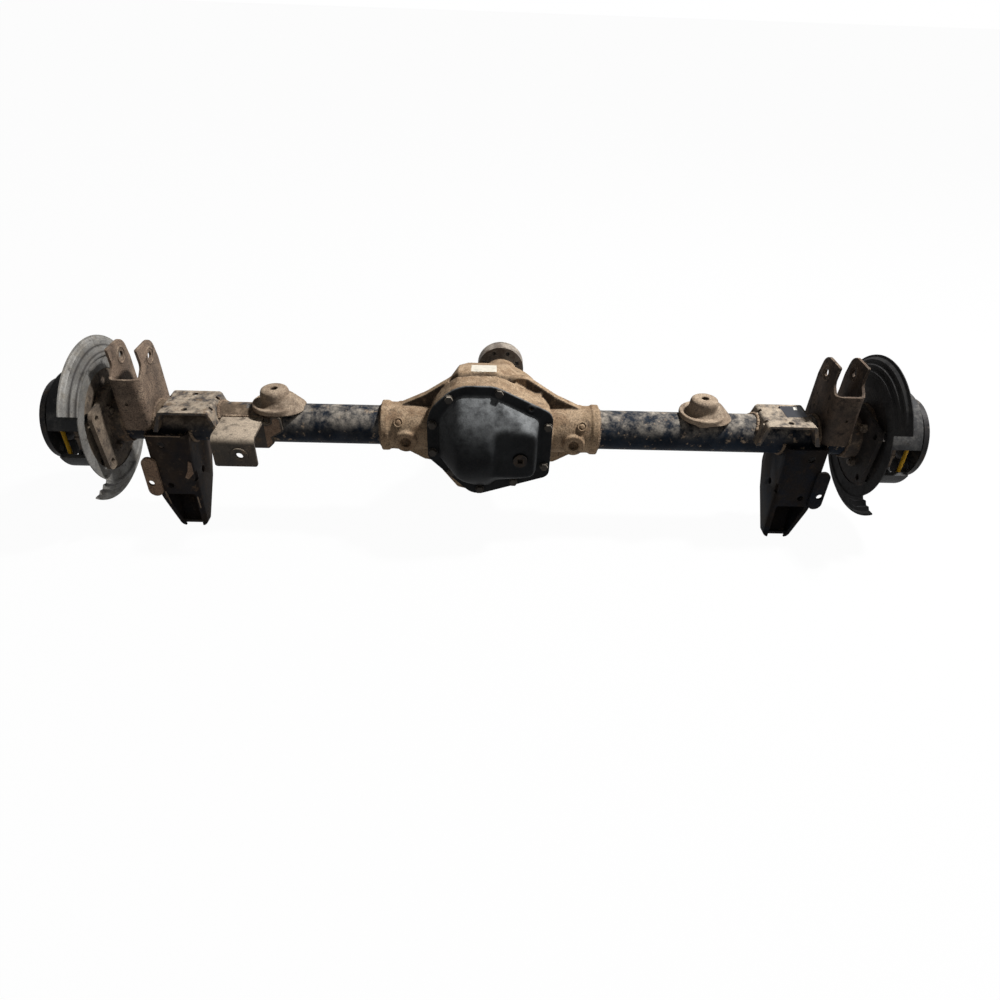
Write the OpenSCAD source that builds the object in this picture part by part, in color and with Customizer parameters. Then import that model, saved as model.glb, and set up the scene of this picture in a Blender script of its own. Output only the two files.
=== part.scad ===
// Rear drive axle: cast centre housing with pressed-in tubes, welded brackets,
// brake backing parts, final drive and differential.
// Millimetres. X along the axle, +Y towards the pinion flange, +Z up.
// The origin is on the axle line, midway between the wheel flanges.

/* [Axle] */
// Distance between the outer faces of the two wheel flanges
track_face = 1660; // [1650:1:1700]
// Outer diameter of the axle tubes
tube_d = 76.2; // [74:0.2:78]
// Wall of the axle tubes
tube_wall = 6.4; // [5:0.2:8]
// Diameter of the axle shafts
shaft_d = 32; // [29:0.5:32]
// Diameter of the wheel flanges
wheel_flange_d = 154; // [148:1:160]
// Thickness of the wheel flanges
wheel_flange_t = 10; // [8:0.5:12]
// Circle that the wheel stud holes stand on
stud_circle_d = 127; // [120:0.5:128]
// Diameter of the wheel stud holes
stud_hole_d = 13; // [12:0.5:14]

/* [Centre housing] */
// Face of the housing that the cover is bolted to, in front of the axle line
face_y = 55; // [54:0.5:57]
// Thickness of the bolted flange of the housing
housing_flange_t = 14; // [12:1:18]
// Radius of the casting round the ring gear
drum_r = 119; // [117:0.5:122]
// Radius of the space round the ring gear
cavity_r = 108; // [106:0.5:109]
// Radius of the collars that hold the tubes
collar_r = 46; // [45:0.5:50]
// End of each collar from the axle centre
collar_end = 210; // [200:1:220]
// Sideways offset of the pinion axis
pinion_x = 22; // [21.5:0.1:22.5]
// Front end of the pinion nose
nose_end = 236; // [234:1:240]
// Thickness of the arched web over the collars
web_t = 17; // [14:1:20]

/* [Cover] */
// Thickness of the pressed cover
cover_t = 4; // [3:0.2:4.4]
// Radius of the cover over the ring gear
dome_r = 114; // [113.6:0.1:116]
// Depth of the flat box beside the ring gear dome, from the axle line
box_depth = 100; // [96:1:104]
// Thread diameter of the cover bolts
cover_bolt_d = 8; // [7:0.2:8.4]

/* [Gears] */
// Heel cone distance of the ring gear and pinion
drive_cone = 103.5; // [103:0.1:104]
// Face width of the ring gear and pinion
drive_face = 30; // [26:1:32]
// Heel cone distance of the differential gears
diff_cone = 46; // [45.5:0.1:46.5]
// Face width of the differential gears
diff_face = 15; // [13:0.5:16]
// Clearance left on each tooth flank
tooth_gap = 0.5; // [0.4:0.05:0.7]

/* [Suspension brackets] */
// Distance of each spring perch from its wheel face
perch_inset = 258.5; // [256:0.5:261]
// Width of the flat top of each spring perch
perch_w = 92; // [86:1:96]
// Height of the spring perch top over the axle line
perch_top = 48.4; // [46:0.2:52]
// Plate thickness of the brackets
plate_t = 5; // [4:0.2:6]
// Distance of each upper bracket from its wheel face
upper_inset = 161; // [159:0.5:163]
// Width of the upper brackets
upper_w = 58; // [54:1:60]
// Bolt hole of the upper and lower arms
arm_hole_d = 14.4; // [12:0.2:16]
// Distance of each lower bracket from its wheel face
lower_inset = 215; // [213:0.5:218]
// Width of the lower brackets
lower_w = 80; // [76:1:82]
// Distance of each bump stop pad from its wheel face
bump_inset = 418; // [410:1:425]
// Height of the bump stop pads over the axle line
bump_top = 75; // [72:0.5:80]
// Distance of the track bar bolt from the left wheel face
track_bar_inset = 370; // [366:0.5:374]
// Track bar bracket front plate, in front of the axle line
track_bar_y = 110; // [104:1:116]

/* [Brakes] */
// Distance of the brake mounting face from the wheel face
brake_inset = 92; // [90:0.5:94]
// Rim radius of the dust shields
shield_r = 159; // [154:1:164]
// Sheet thickness of the dust shields
shield_t = 1.6; // [1.2:0.1:2]
// Radius over the parking brake linings
lining_r = 93; // [90:0.5:95]
// Width of the parking brake linings
lining_w = 56; // [50:1:58]

/* [Hidden] */
$fn = 72;
tube_r = tube_d / 2;
shaft_r = shaft_d / 2;
half_track = track_face / 2;
fit = 0.05;
flange_face = half_track - brake_inset;
perch_x = half_track - perch_inset;
upper_x = half_track - upper_inset;
lower_x = half_track - lower_inset;
bump_x = half_track - bump_inset;
track_bar_x = track_bar_inset - half_track;
tube_flange_t = 10;
backing_t = 4;
backing_face = flange_face + backing_t;
bearing_r = 40;
bearing_w = 22;
tube_end = flange_face - bearing_w - 2;
wheel_journal_r = 20;
trunnion_r = 22;
case_r = 58;
bolt_flange_r = cover_bolt_d / 2 + 4.5;

// Rounded outlines: each corner is [across, up, radius]
function unit(v) = v / norm(v);
function spot(c) = [c[0], c[1]];
function before(list, i) = spot(list[(i + len(list) - 1) % len(list)]);
function after(list, i) = spot(list[(i + 1) % len(list)]);
function bend(a, b, c) = acos(unit(a - b) * unit(c - b)) / 2;
function bisect(a, b, c, d) = b + unit(unit(a - b) + unit(c - b)) * d / sin(bend(a, b, c));
function turn(p, q) = (atan2(q[1], q[0]) - atan2(p[1], p[0]) + 540) % 360 - 180;
function arc(m, p, q, steps) =
    [for (i = [0:steps])
        let (a = atan2(p[1], p[0]) + turn(p, q) * i / steps)
        m + norm(p) * [cos(a), sin(a)]];
function corner(a, b, c, r) =
    let (m = bisect(a, b, c, r), d = r / tan(bend(a, b, c)))
    arc(m, b + unit(a - b) * d - m, b + unit(c - b) * d - m, 6);
function rounded(list) =
    [for (i = [0:len(list) - 1])
        each list[i][2] > 0
            ? corner(before(list, i), spot(list[i]), after(list, i), list[i][2])
            : [spot(list[i])]];
function inset(list, d) =
    [for (i = [0:len(list) - 1])
        let (p = bisect(before(list, i), spot(list[i]), after(list, i), d))
        [p[0], p[1], max(list[i][2] - d, 6)]];

// Solids set along the three directions
module along_x(x0, x1, r) {
    translate([x0, 0, 0]) rotate([0, 90, 0]) cylinder(h = x1 - x0, r = r);
}

module along_y(y0, y1, r) {
    translate([0, y0, 0]) rotate([-90, 0, 0]) cylinder(h = y1 - y0, r = r);
}

module turned_x(profile, start = 0, sweep = 360) {
    rotate([0, 90, 0]) rotate([0, 0, start]) rotate_extrude(angle = sweep)
        polygon([for (p = profile) [p[1], p[0]]]);
}

module turned_y(profile) {
    rotate([-90, 0, 0]) rotate_extrude() polygon([for (p = profile) [p[1], p[0]]]);
}

module plate_x(x0, t) {
    translate([x0, 0, 0]) rotate([90, 0, 90]) linear_extrude(t) children();
}

module plate_y(y0, t) {
    translate([0, y0 + t, 0]) rotate([90, 0, 0]) linear_extrude(t) children();
}

module plate_z(z0, t) {
    translate([0, 0, z0]) linear_extrude(t) children();
}

module bar(x, y, z) {
    translate([x[0], y[0], z[0]]) cube([x[1] - x[0], y[1] - y[0], z[1] - z[0]]);
}

module on_right() {
    children();
}

module on_left() {
    mirror([1, 0, 0]) children();
}

module tube_space() {
    along_x(0, tube_end, tube_r);
}

// Centre housing: bolted outline seen from the cover side
outline = [[-119, -36, 18], [-119, 63, 68], [-64, 118, 68], [7, 118, 60], [118, 64, 26], [117, -74, 16],
           [-30, -124, 36]];
cover_bolt_spots = [[-109, 37], [-77, 91], [15, 105], [109, 37], [106, -50], [48, -87], [-18, -106],
                    [-74, -67], [-109, -23]];
empty_hole_spot = [75, 74];
bolt_depth = 18;
boss_x = 161;
boss_z = -8;
web_y = -3;
half_arch = [[collar_end - 4, 42, 8], [176, 45, 30], [126, 69, 30], [66, 109, 30]];
half_keel = [[128, -77, 20], [160, -58, 20], [collar_end - 4, -50, 8]];
arch = concat([for (p = half_arch) p], [for (i = [3:-1:0]) [-half_arch[i][0], half_arch[i][1], half_arch[i][2]]],
              [for (i = [2:-1:0]) [-half_keel[i][0], half_keel[i][1], half_keel[i][2]]], half_keel);
left_bearing_x = -76;
right_bearing_x = 74;
inner_race_y = 107;
inner_race_w = 28;
outer_race_y = 195;
outer_race_w = 22;
outer_race_r = 31;
seal_r = 33;
seal_y = 222;
nose = [[40, 0], [40, 100], [100, 86], [145, 68], [174, 51], [192, 44], [nose_end, seal_r + 5], [nose_end, 0]];
cap_depth = 46;
cap_half = 58;

block_depth = 40;
shoulder_y = 45;
shoulder_r = 105;
pedestal_r = 79;
neck_r = 58;
band_w = 14;
boss_r = 21;

module housing_body() {
    plate_y(-face_y, housing_flange_t) polygon(rounded(outline));
    hull() {
        plate_y(-face_y, block_depth) polygon(rounded(inset(outline, 3)));
        along_x(-62, 10, drum_r);
        translate([0, shoulder_y, 0]) along_x(-46, 32, shoulder_r);
    }
    along_x(left_bearing_x - 4, right_bearing_x + 22, pedestal_r);
    along_x(left_bearing_x - 26, right_bearing_x + 32, neck_r);
    plate_y(web_y, web_t) polygon(rounded(arch));
    for (side = [0, 1]) {
        mirror([side, 0, 0]) {
            along_x(90, collar_end, collar_r);
            along_x(collar_end - band_w, collar_end, collar_r + 3);
            translate([boss_x, 0, boss_z]) along_y(-collar_r - 6, 0, boss_r);
        }
    }
    translate([pinion_x, 0, 0]) turned_y(nose);
}

module center_housing() {
    color([0.42, 0.33, 0.26]) difference() {
        housing_body();
        bar([-200, 200], [-200, -face_y], [-200, 200]);
        along_x(-53, 6, cavity_r);
        along_x(-54, 72, 70);
        bar([-80, 97], [-face_y - 1, 0], [-62, 62]);
        along_x(-110, 110, tube_r - tube_wall);
        along_x(left_bearing_x, 0, bearing_r + fit);
        along_x(0, right_bearing_x + 20, bearing_r + fit);
        for (side = [0, 1]) {
            mirror([side, 0, 0]) {
                along_x(100, collar_end + 1, tube_r + fit);
                translate([boss_x, 0, boss_z]) along_y(-collar_r - 7, -tube_r - 2, 10);
            }
        }
        translate([pinion_x, 0, 0]) {
            along_y(40, inner_race_y, 36);
            along_y(inner_race_y - 1, inner_race_y + inner_race_w, bearing_r + fit);
            along_y(130, outer_race_y + 1, 27);
            along_y(outer_race_y, seal_y + 1, outer_race_r + fit);
            along_y(seal_y, nose_end + 1, seal_r + fit);
        }
        for (p = concat(cover_bolt_spots, [empty_hole_spot])) {
            translate([p[0], 0, p[1]]) along_y(-face_y - 1, -face_y + bolt_depth + 2, cover_bolt_d / 2);
        }
        for (x = [left_bearing_x + 10, right_bearing_x + 10], z = [-1, 1]) {
            translate([x, 0, z * 49]) along_y(-1, 30, 5);
        }
    }
}

// Axle tubes and the forged ends that carry the brakes
module axle_tube() {
    color([0.13, 0.14, 0.19]) difference() {
        along_x(100, tube_end, tube_r);
        along_x(99, tube_end + 1, tube_r - tube_wall);
    }
}

module axle_tube_left() {
    on_left() axle_tube();
}

module axle_tube_right() {
    on_right() axle_tube();
}

nut_circle_r = 53;
nut_angles = [45, 135, 225, 315];

module at_nuts() {
    for (a = nut_angles) {
        rotate([a, 0, 0]) translate([0, nut_circle_r, 0]) children();
    }
}

module tube_flange() {
    color([0.25, 0.22, 0.2]) difference() {
        turned_x([[tube_end - 16, 0], [tube_end - 16, tube_r + 4], [tube_end - 6, bearing_r + 5],
                  [flange_face - tube_flange_t, bearing_r + 5], [flange_face - tube_flange_t, 66],
                  [flange_face, 66], [flange_face, 0]]);
        along_x(tube_end - 17, tube_end, tube_r + fit);
        along_x(tube_end - 1, flange_face - bearing_w, tube_r - tube_wall);
        along_x(flange_face - bearing_w, flange_face + 1, bearing_r + fit);
        at_nuts() along_x(flange_face - 20, flange_face + 1, 5.2);
    }
}

module tube_flange_left() {
    on_left() tube_flange();
}

module tube_flange_right() {
    on_right() tube_flange();
}

// Bearing caps over the differential bearings, with their bolts
module bearing_caps() {
    color([0.35, 0.33, 0.31]) difference() {
        for (x = [left_bearing_x, right_bearing_x]) {
            bar([x, x + 20], [-cap_depth, 0], [-cap_half, cap_half]);
        }
        along_x(-100, 110, bearing_r + fit);
        for (x = [left_bearing_x + 10, right_bearing_x + 10], z = [-1, 1]) {
            translate([x, 0, z * 49]) along_y(-cap_depth - 1, 1, 5);
        }
    }
}

module bearing_cap_bolts() {
    color([0.3, 0.3, 0.32]) for (x = [left_bearing_x + 10, right_bearing_x + 10], z = [-1, 1]) {
        translate([x, 0, z * 49]) {
            along_y(-cap_depth, 28, 5 - fit);
            translate([0, -cap_depth - 8, 0]) rotate([-90, 0, 0]) cylinder(h = 8, r = 9.5, $fn = 6);
        }
    }
}

// Cover: pressed sheet with a ring gear dome and a flat box beside it
box_base = [[-30, -92, 14], [92, -68, 14], [92, 52, 16], [0, 97, 20], [-30, 97, 10]];
box_face = [[-20, -52, 14], [86, -52, 14], [86, 45, 14], [-20, 45, 14]];
plug_r = 11;
plug_spot = [57, -12];

module cover_form(skin) {
    intersection() {
        union() {
            turned_x(rounded([[-100 + skin, 0, 0], [-96 + skin, 74 - skin, 10], [-59 + skin, dome_r - skin, 18],
                              [10 - skin, dome_r - skin, 16], [18 - skin, 0, 0]]));
            hull() {
                plate_y(-face_y - 3, 4) polygon(rounded(inset(box_base, skin)));
                plate_y(-box_depth + skin, 1) polygon(rounded(inset(box_face, skin)));
            }
        }
        plate_y(-dome_r - 5, dome_r + 5 - face_y + skin * 0.5) polygon(rounded(inset(outline, 20 + skin)));
    }
}

module diff_cover() {
    color([0.07, 0.07, 0.08]) difference() {
        union() {
            plate_y(-face_y - cover_t, cover_t) polygon(rounded(outline));
            cover_form(0);
            translate([plug_spot[0], 0, plug_spot[1]]) along_y(-box_depth - 2, -box_depth + cover_t, plug_r + 4.5);
            translate([empty_hole_spot[0], 0, empty_hole_spot[1]])
                along_y(-face_y - cover_t - 1.2, -face_y - cover_t, cover_bolt_d / 2 + 4);
        }
        cover_form(cover_t);
        for (p = concat(cover_bolt_spots, [empty_hole_spot])) {
            translate([p[0], 0, p[1]]) along_y(-face_y - cover_t - 3, -face_y + 1, cover_bolt_d / 2);
        }
        translate([plug_spot[0], 0, plug_spot[1]]) along_y(-box_depth - 3, -box_depth + cover_t + 1, plug_r);
        bar([-150, 150], [-face_y, 10], [-150, 150]);
    }
}

module cover_bolts() {
    color([0.4, 0.36, 0.31]) for (p = cover_bolt_spots) {
        translate([p[0], -face_y - cover_t, p[1]]) {
            along_y(0, cover_t + bolt_depth, cover_bolt_d / 2 - fit);
            along_y(-2, 0, bolt_flange_r);
            translate([0, -7.5, 0]) rotate([-90, 0, 0])
                cylinder(h = 6, r = bolt_flange_r - 1, $fn = 6);
        }
    }
}

module fill_plug() {
    color([0.16, 0.13, 0.11]) translate([plug_spot[0], -box_depth - 2, plug_spot[1]]) difference() {
        union() {
            along_y(0, cover_t + 3, plug_r - fit);
            along_y(-3, 0, plug_r + 2);
        }
        bar([-4.8, 4.8], [-4, 4], [-4.8, 4.8]);
    }
}

// Bearings and seal: rings with running clearance on their shafts
module ring_x(x0, w, inner, outer) {
    turned_x([[x0, inner], [x0, outer], [x0 + w, outer], [x0 + w, inner]]);
}

module ring_y(y0, w, inner, outer) {
    translate([pinion_x, 0, 0])
        turned_y([[y0, inner], [y0, outer], [y0 + w, outer], [y0 + w, inner]]);
}

module pinion_seal() {
    color([0.1, 0.1, 0.1]) ring_y(seal_y, nose_end - seal_y, 24 + fit, seal_r);
}

module pinion_bearing_inner() {
    color([0.7, 0.7, 0.72]) ring_y(inner_race_y, inner_race_w, 22 + fit, bearing_r);
}

module pinion_bearing_outer() {
    color([0.7, 0.7, 0.72]) ring_y(outer_race_y, outer_race_w, 17 + fit, outer_race_r);
}

module carrier_bearing_left() {
    color([0.7, 0.7, 0.72]) ring_x(left_bearing_x, 20, trunnion_r + fit, bearing_r);
}

module carrier_bearing_right() {
    color([0.7, 0.7, 0.72]) ring_x(right_bearing_x, 20, trunnion_r + fit, bearing_r);
}

module wheel_bearing() {
    color([0.7, 0.7, 0.72]) ring_x(flange_face - bearing_w, bearing_w, wheel_journal_r + fit, bearing_r);
}

module wheel_bearing_left() {
    on_left() wheel_bearing();
}

module wheel_bearing_right() {
    on_right() wheel_bearing();
}

module bearing_retainer() {
    color([0.45, 0.44, 0.42]) ring_x(flange_face, 6, wheel_journal_r + 2, bearing_r + 2);
}

module bearing_retainer_left() {
    on_left() bearing_retainer();
}

module bearing_retainer_right() {
    on_right() bearing_retainer();
}

// Spring perches: folded channel with flaring sides, cut to sit on the tube
perch_rear = 58;
perch_front = 32;
perch_low = 6;
perch_flare = 16;
perch_gap = 0.5;

module perch_section(skin) {
    half = perch_w / 2 - skin * 0.8;
    polygon(rounded([[-half - perch_flare, perch_low - skin * 3, 0], [-half, perch_top - skin, 7 - skin],
                     [half, perch_top - skin, 7 - skin], [half + perch_flare, perch_low - skin * 3, 0]]));
}

module spring_perch() {
    color([0.13, 0.14, 0.19]) difference() {
        translate([perch_x, 0, 0]) difference() {
            plate_y(-perch_rear, perch_rear + perch_front) perch_section(0);
            plate_y(-perch_rear - 1, perch_rear + perch_front + 2) perch_section(plate_t);
            bar([-100, 100], [-100, 100], [-100, perch_low]);
            for (y = [-perch_rear + 14, perch_front - 14]) {
                translate([0, y, perch_top - plate_t - 1]) cylinder(h = plate_t + 2, r = 5.5);
            }
            for (s = [-1, 1], y = [-perch_rear + 23, perch_front - 24]) {
                translate([s * perch_w / 2, y, perch_top]) cube([9, 7, 16], center = true);
            }
        }
        tube_space();
    }
}

module spring_perch_left() {
    on_left() spring_perch();
}

module spring_perch_right() {
    on_right() spring_perch();
}

// Folded channels, open away from the cover side, seen from above
module folded(x0, width, front, depth, r) {
    outer = [[x0, -front, r], [x0 + width, -front, r], [x0 + width, depth, 0], [x0, depth, 0]];
    inner = [[x0 + plate_t, plate_t - front, r - plate_t], [x0 + width - plate_t, plate_t - front, r - plate_t],
             [x0 + width - plate_t, depth + 1, 0], [x0 + plate_t, depth + 1, 0]];
    difference() {
        polygon(rounded(outer));
        polygon(rounded(inner));
    }
}

// Upper brackets: a folded web and two ears welded on top of the tube
upper_bolt = [20, 126];
upper_web_y = 46;
upper_web_top = 106;
upper_top = 155;

module upper_arm_bracket() {
    inner_x = upper_x - upper_w / 2;
    side = [[-upper_web_y - 1, 2, 0], [-upper_web_y - 1, upper_web_top, 0], [-36, upper_web_top, 8],
            [-19, 121, 16], [-24, upper_top, 3], [40, upper_top, 27], [52, 110, 26], [58, 2, 0]];
    color([0.3, 0.26, 0.23]) difference() {
        union() {
            intersection() {
                plate_z(0, upper_top) folded(inner_x, upper_w, upper_web_y, 60, 14);
                plate_x(inner_x, upper_w) polygon(rounded(side));
            }
            for (x = [inner_x - 1, inner_x + upper_w - plate_t - 1]) {
                translate([0, upper_bolt[0], upper_bolt[1]])
                    turned_x([[x, arm_hole_d / 2 + 6], [x, arm_hole_d / 2 + 9], [x + 2, arm_hole_d / 2 + 9],
                              [x + 2, arm_hole_d / 2 + 6]]);
            }
        }
        translate([0, upper_bolt[0], upper_bolt[1]]) along_x(inner_x - 20, inner_x + upper_w + 20, arm_hole_d / 2);
        translate([upper_x + 6, 0, 56]) along_y(-upper_web_y - 1, 0, 3);
        tube_space();
    }
}

module upper_arm_bracket_left() {
    on_left() upper_arm_bracket();
}

module upper_arm_bracket_right() {
    on_right() upper_arm_bracket();
}

// Lower brackets: a deep folded channel under the tube, tapering to a trough at the tip
lower_bolt = [-18, -100];
lower_web_y = 60;
lower_tip = 212;
lower_shoulder = 128;
lower_taper = 30;

module lower_arm_bracket() {
    inner_x = lower_x - lower_w / 2;
    outer_x = lower_x + lower_w / 2;
    side = [[-lower_web_y - 1, -1, 0], [-lower_web_y - 1, -lower_tip - 1, 0], [-42, -lower_tip - 1, 0],
            [20, -140, 20], [46, -88, 20], [46, -1, 0]];
    skid = [[-42, -lower_tip, 0], [20, -140, 12], [29.5, -124, 0], [23.6, -124, 0], [15, -138, 10],
            [-44, -lower_tip + 6, 0]];
    front = [[inner_x - 1, 0, 0], [inner_x - 1, -lower_tip, 9], [outer_x - lower_taper, -lower_tip, 12],
             [outer_x, -lower_shoulder, 12], [outer_x, 0, 0]];
    window = [[inner_x + 9, -lower_shoulder - 6, 4], [inner_x + 9, -lower_tip - 5, 0],
              [outer_x - lower_taper - 9, -lower_tip - 5, 0], [outer_x - 12, -lower_shoulder - 6, 4]];
    color([0.16, 0.14, 0.14]) difference() {
        intersection() {
            union() {
                plate_z(-lower_tip, lower_tip) folded(inner_x, lower_w, lower_web_y, 60, 8);
                plate_y(-lower_web_y, 100) polygon([[outer_x, -lower_shoulder + 6], [outer_x - lower_taper, -lower_tip],
                    [outer_x - lower_taper - plate_t, -lower_tip], [outer_x - plate_t, -lower_shoulder + 6]]);
                plate_x(inner_x, lower_w) polygon(rounded(skid));
            }
            plate_x(inner_x, lower_w) polygon(rounded(side));
            plate_y(-lower_web_y - 1, 120) polygon(rounded(front));
        }
        plate_y(-lower_web_y - 2, plate_t + 3) polygon(rounded(window));
        translate([0, lower_bolt[0], lower_bolt[1]]) along_x(inner_x - 20, inner_x + lower_w + 20, arm_hole_d / 2);
        translate([lower_x + 10, 0, -22]) along_y(-lower_web_y - 5, 0, 7);
        translate([lower_x + 12, 0, -114]) along_y(-lower_web_y - 5, 0, 6);
        bar([inner_x - 1, inner_x + 4], [-lower_web_y - 1, -lower_web_y + 12], [-104, -84]);
        tube_space();
    }
}

module lower_arm_bracket_left() {
    on_left() lower_arm_bracket();
}

module lower_arm_bracket_right() {
    on_right() lower_arm_bracket();
}

// Link tabs: oblong ears on the outer cheek of each lower bracket
module link_tab() {
    x0 = lower_x + lower_w / 2 - 12;
    tab = [[x0, -48, 13.9], [x0 + 28, -48, 13.9], [x0 + 28, -136, 13.9], [x0, -136, 13.9]];
    color([0.2, 0.18, 0.17]) difference() {
        plate_y(-lower_web_y - 6, 6) polygon(rounded(tab));
        translate([x0 + 18.5, 0, -106]) along_y(-lower_web_y - 7, 0, 6);
    }
}

module link_tab_left() {
    on_left() link_tab();
}

module link_tab_right() {
    on_right() link_tab();
}

// Track bar bracket: folded box on the left tube, open to the right
track_hole_z = -9;

module track_bar_bracket() {
    x0 = perch_w / 2 + perch_flare + perch_gap - perch_x;
    x1 = track_bar_x + 30;
    fold = [[-track_bar_y, -40, 0], [-track_bar_y, 27, 14], [-26, 27, 0], [-26, 27 - plate_t, 0],
            [-track_bar_y + plate_t, 27 - plate_t, 9], [-track_bar_y + plate_t, -40, 0]];
    front = [[x0, -33, 5], [x1, -33, 5], [x1, 28, 0], [x0, 28, 0]];
    back = [[x0, -33, 6], [x1 + 4, -33, 5], [x1 + 16, -21, 4], [x1 + 13, -9, 3], [x1 + 36, 4, 8],
            [x1 + 34, 35, 6], [x1 + 16, 35, 4], [x1 + 14, 27, 2], [x0, 27, 0]];
    color([0.14, 0.14, 0.17]) difference() {
        union() {
            intersection() {
                plate_x(x0, x1 - x0) polygon(rounded(fold));
                plate_y(-track_bar_y - 1, track_bar_y) polygon(rounded(front));
            }
            plate_y(-tube_r - plate_t, plate_t + 6) polygon(rounded(back));
            translate([track_bar_x, 0, track_hole_z]) along_y(-track_bar_y - 3, -track_bar_y + 1, arm_hole_d / 2 + 9);
        }
        translate([track_bar_x, 0, track_hole_z]) along_y(-track_bar_y - 10, -tube_r, arm_hole_d / 2);
        translate([x1 + 7, 0, 27]) along_y(-tube_r - 20, 0, 8);
        mirror([1, 0, 0]) tube_space();
    }
}

// Bump stop pads: round knobs on a lipped brim, with a slope down to the tube on one side
brim_r = 45;

module bump_pad(x) {
    top = bump_top;
    color([0.4, 0.36, 0.31]) difference() {
        translate([x, 0, 0]) difference() {
            union() {
                rotate_extrude() polygon([[0, top], [20, top], [25, top - 2.5], [27, top - 8], [28, top - 22],
                                          [33, top - 29], [37, top - 30], [41, top - 27], [brim_r, top - 29],
                                          [brim_r, top - 38], [30, top - 40], [30, 20], [0, 20]]);
                translate([17, 0, top - 40]) cylinder(h = 27, r1 = 42, r2 = 17);
            }
            rotate_extrude() polygon([[0, top - 6], [18, top - 6], [20, top - 30], [22, 19], [0, 19]]);
            translate([0, 0, top - 10]) cylinder(h = 20, r = 7);
        }
        along_x(-tube_end, tube_end, tube_r);
    }
}

module bump_pad_left() {
    bump_pad(-bump_x);
}

module bump_pad_right() {
    bump_pad(bump_x);
}

// Brake backing plate, dust shield, caliper bracket and their nuts
shield_gap_start = 315;
shield_gap_sweep = 285;
caliper_hole_r = 87;
caliper_angles = [29, -38];

module at_caliper_holes() {
    for (a = caliper_angles) {
        rotate([-a, 0, 0]) translate([0, -caliper_hole_r, 0]) children();
    }
}

module backing_plate() {
    color([0.38, 0.37, 0.36]) difference() {
        union() {
            along_x(flange_face, backing_face, 106);
            for (a = [20, 90, 160, 200, 270, 340]) {
                rotate([a, 0, 0]) translate([backing_face - 1, -6, lining_r - 14]) cube([11, 12, 8]);
            }
        }
        along_x(flange_face - 1, backing_face + 1, bearing_r + 2 + fit);
        at_nuts() along_x(flange_face - 1, backing_face + 1, 5.2);
        at_caliper_holes() along_x(flange_face - 1, backing_face + 1, 9);
    }
}

module backing_plate_left() {
    on_left() backing_plate();
}

module backing_plate_right() {
    on_right() backing_plate();
}

module dust_shield() {
    x = flange_face - shield_t;
    inner = [[x, 98], [x + shield_t, 98], [x + shield_t, 120], [x, 120]];
    steps = [[x, 119], [x - 3, 122], [x - 3, 128], [x + 2, 131], [x + 2, 140], [x + 7, 143], [x + 7, 150],
             [x + 13, shield_r - 3], [x + 13, shield_r]];
    flare = concat(steps, [for (i = [len(steps) - 1:-1:0]) steps[i] + [shield_t, 0]]);
    tab = [[x - 12, 140], [x + 4, 140], [x + 4, 140 + shield_t], [x - 12, 140 + shield_t]];
    color([0.46, 0.45, 0.43]) {
        turned_x(inner);
        turned_x(flare, shield_gap_start, shield_gap_sweep);
        turned_x(tab, shield_gap_start, 7);
    }
}

module dust_shield_left() {
    on_left() dust_shield();
}

module dust_shield_right() {
    on_right() dust_shield();
}

bracket_t = 8;

module caliper_bracket() {
    x = flange_face - tube_flange_t - bracket_t;
    color([0.3, 0.28, 0.26]) difference() {
        plate_x(x, bracket_t) hull() {
            circle(r = 66);
            for (a = caliper_angles) {
                rotate(-a) translate([-caliper_hole_r, 0]) circle(r = 16);
            }
        }
        along_x(x - 1, x + bracket_t + 1, bearing_r + 5 + fit);
        at_nuts() along_x(x - 1, x + bracket_t + 1, 5.2);
        at_caliper_holes() along_x(x - 1, x + bracket_t + 1, 6.5);
    }
}

module caliper_bracket_left() {
    on_left() caliper_bracket();
}

module caliper_bracket_right() {
    on_right() caliper_bracket();
}

module flange_nuts() {
    x = flange_face - tube_flange_t - bracket_t;
    color([0.36, 0.33, 0.3]) at_nuts() {
        along_x(x - 12, backing_face, 5);
        along_x(backing_face, backing_face + 4, 9);
        translate([x - 8, 0, 0]) rotate([0, 90, 0]) cylinder(h = 8, r = 9, $fn = 6);
    }
}

module flange_nuts_left() {
    on_left() flange_nuts();
}

module flange_nuts_right() {
    on_right() flange_nuts();
}

// Parking brake: two lined shoes, the adjuster between them and its spring
shoe_x = backing_face + 10;
upper_shoe = [104, 152];
lower_shoe = [294, 132];
shoe_web_t = 5;
shoe_web_x = shoe_x + 19;
adjuster_r = lining_r - 30;

module shoe(span) {
    turned_x([[shoe_x, lining_r - 8], [shoe_x, lining_r], [shoe_x + lining_w, lining_r],
              [shoe_x + lining_w, lining_r - 8]], span[0], span[1]);
    turned_x([[shoe_web_x, lining_r - 36], [shoe_web_x, lining_r - 7], [shoe_web_x + shoe_web_t, lining_r - 7],
              [shoe_web_x + shoe_web_t, lining_r - 36]], span[0], span[1]);
}

module park_shoes() {
    color([0.05, 0.05, 0.05]) {
        shoe(upper_shoe);
        shoe(lower_shoe);
    }
}

module park_shoes_left() {
    on_left() park_shoes();
}

module park_shoes_right() {
    on_right() park_shoes();
}

module shoe_adjuster() {
    color([0.45, 0.42, 0.36]) difference() {
        for (s = [-1, 1]) {
            translate([shoe_web_x + shoe_web_t / 2, s * adjuster_r, -34]) {
                cylinder(h = 56, r = 5);
                translate([0, 0, 26]) cylinder(h = 5, r = 6.8);
            }
        }
        shoe(upper_shoe);
        shoe(lower_shoe);
    }
}

module shoe_adjuster_left() {
    on_left() shoe_adjuster();
}

module shoe_adjuster_right() {
    on_right() shoe_adjuster();
}

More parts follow.
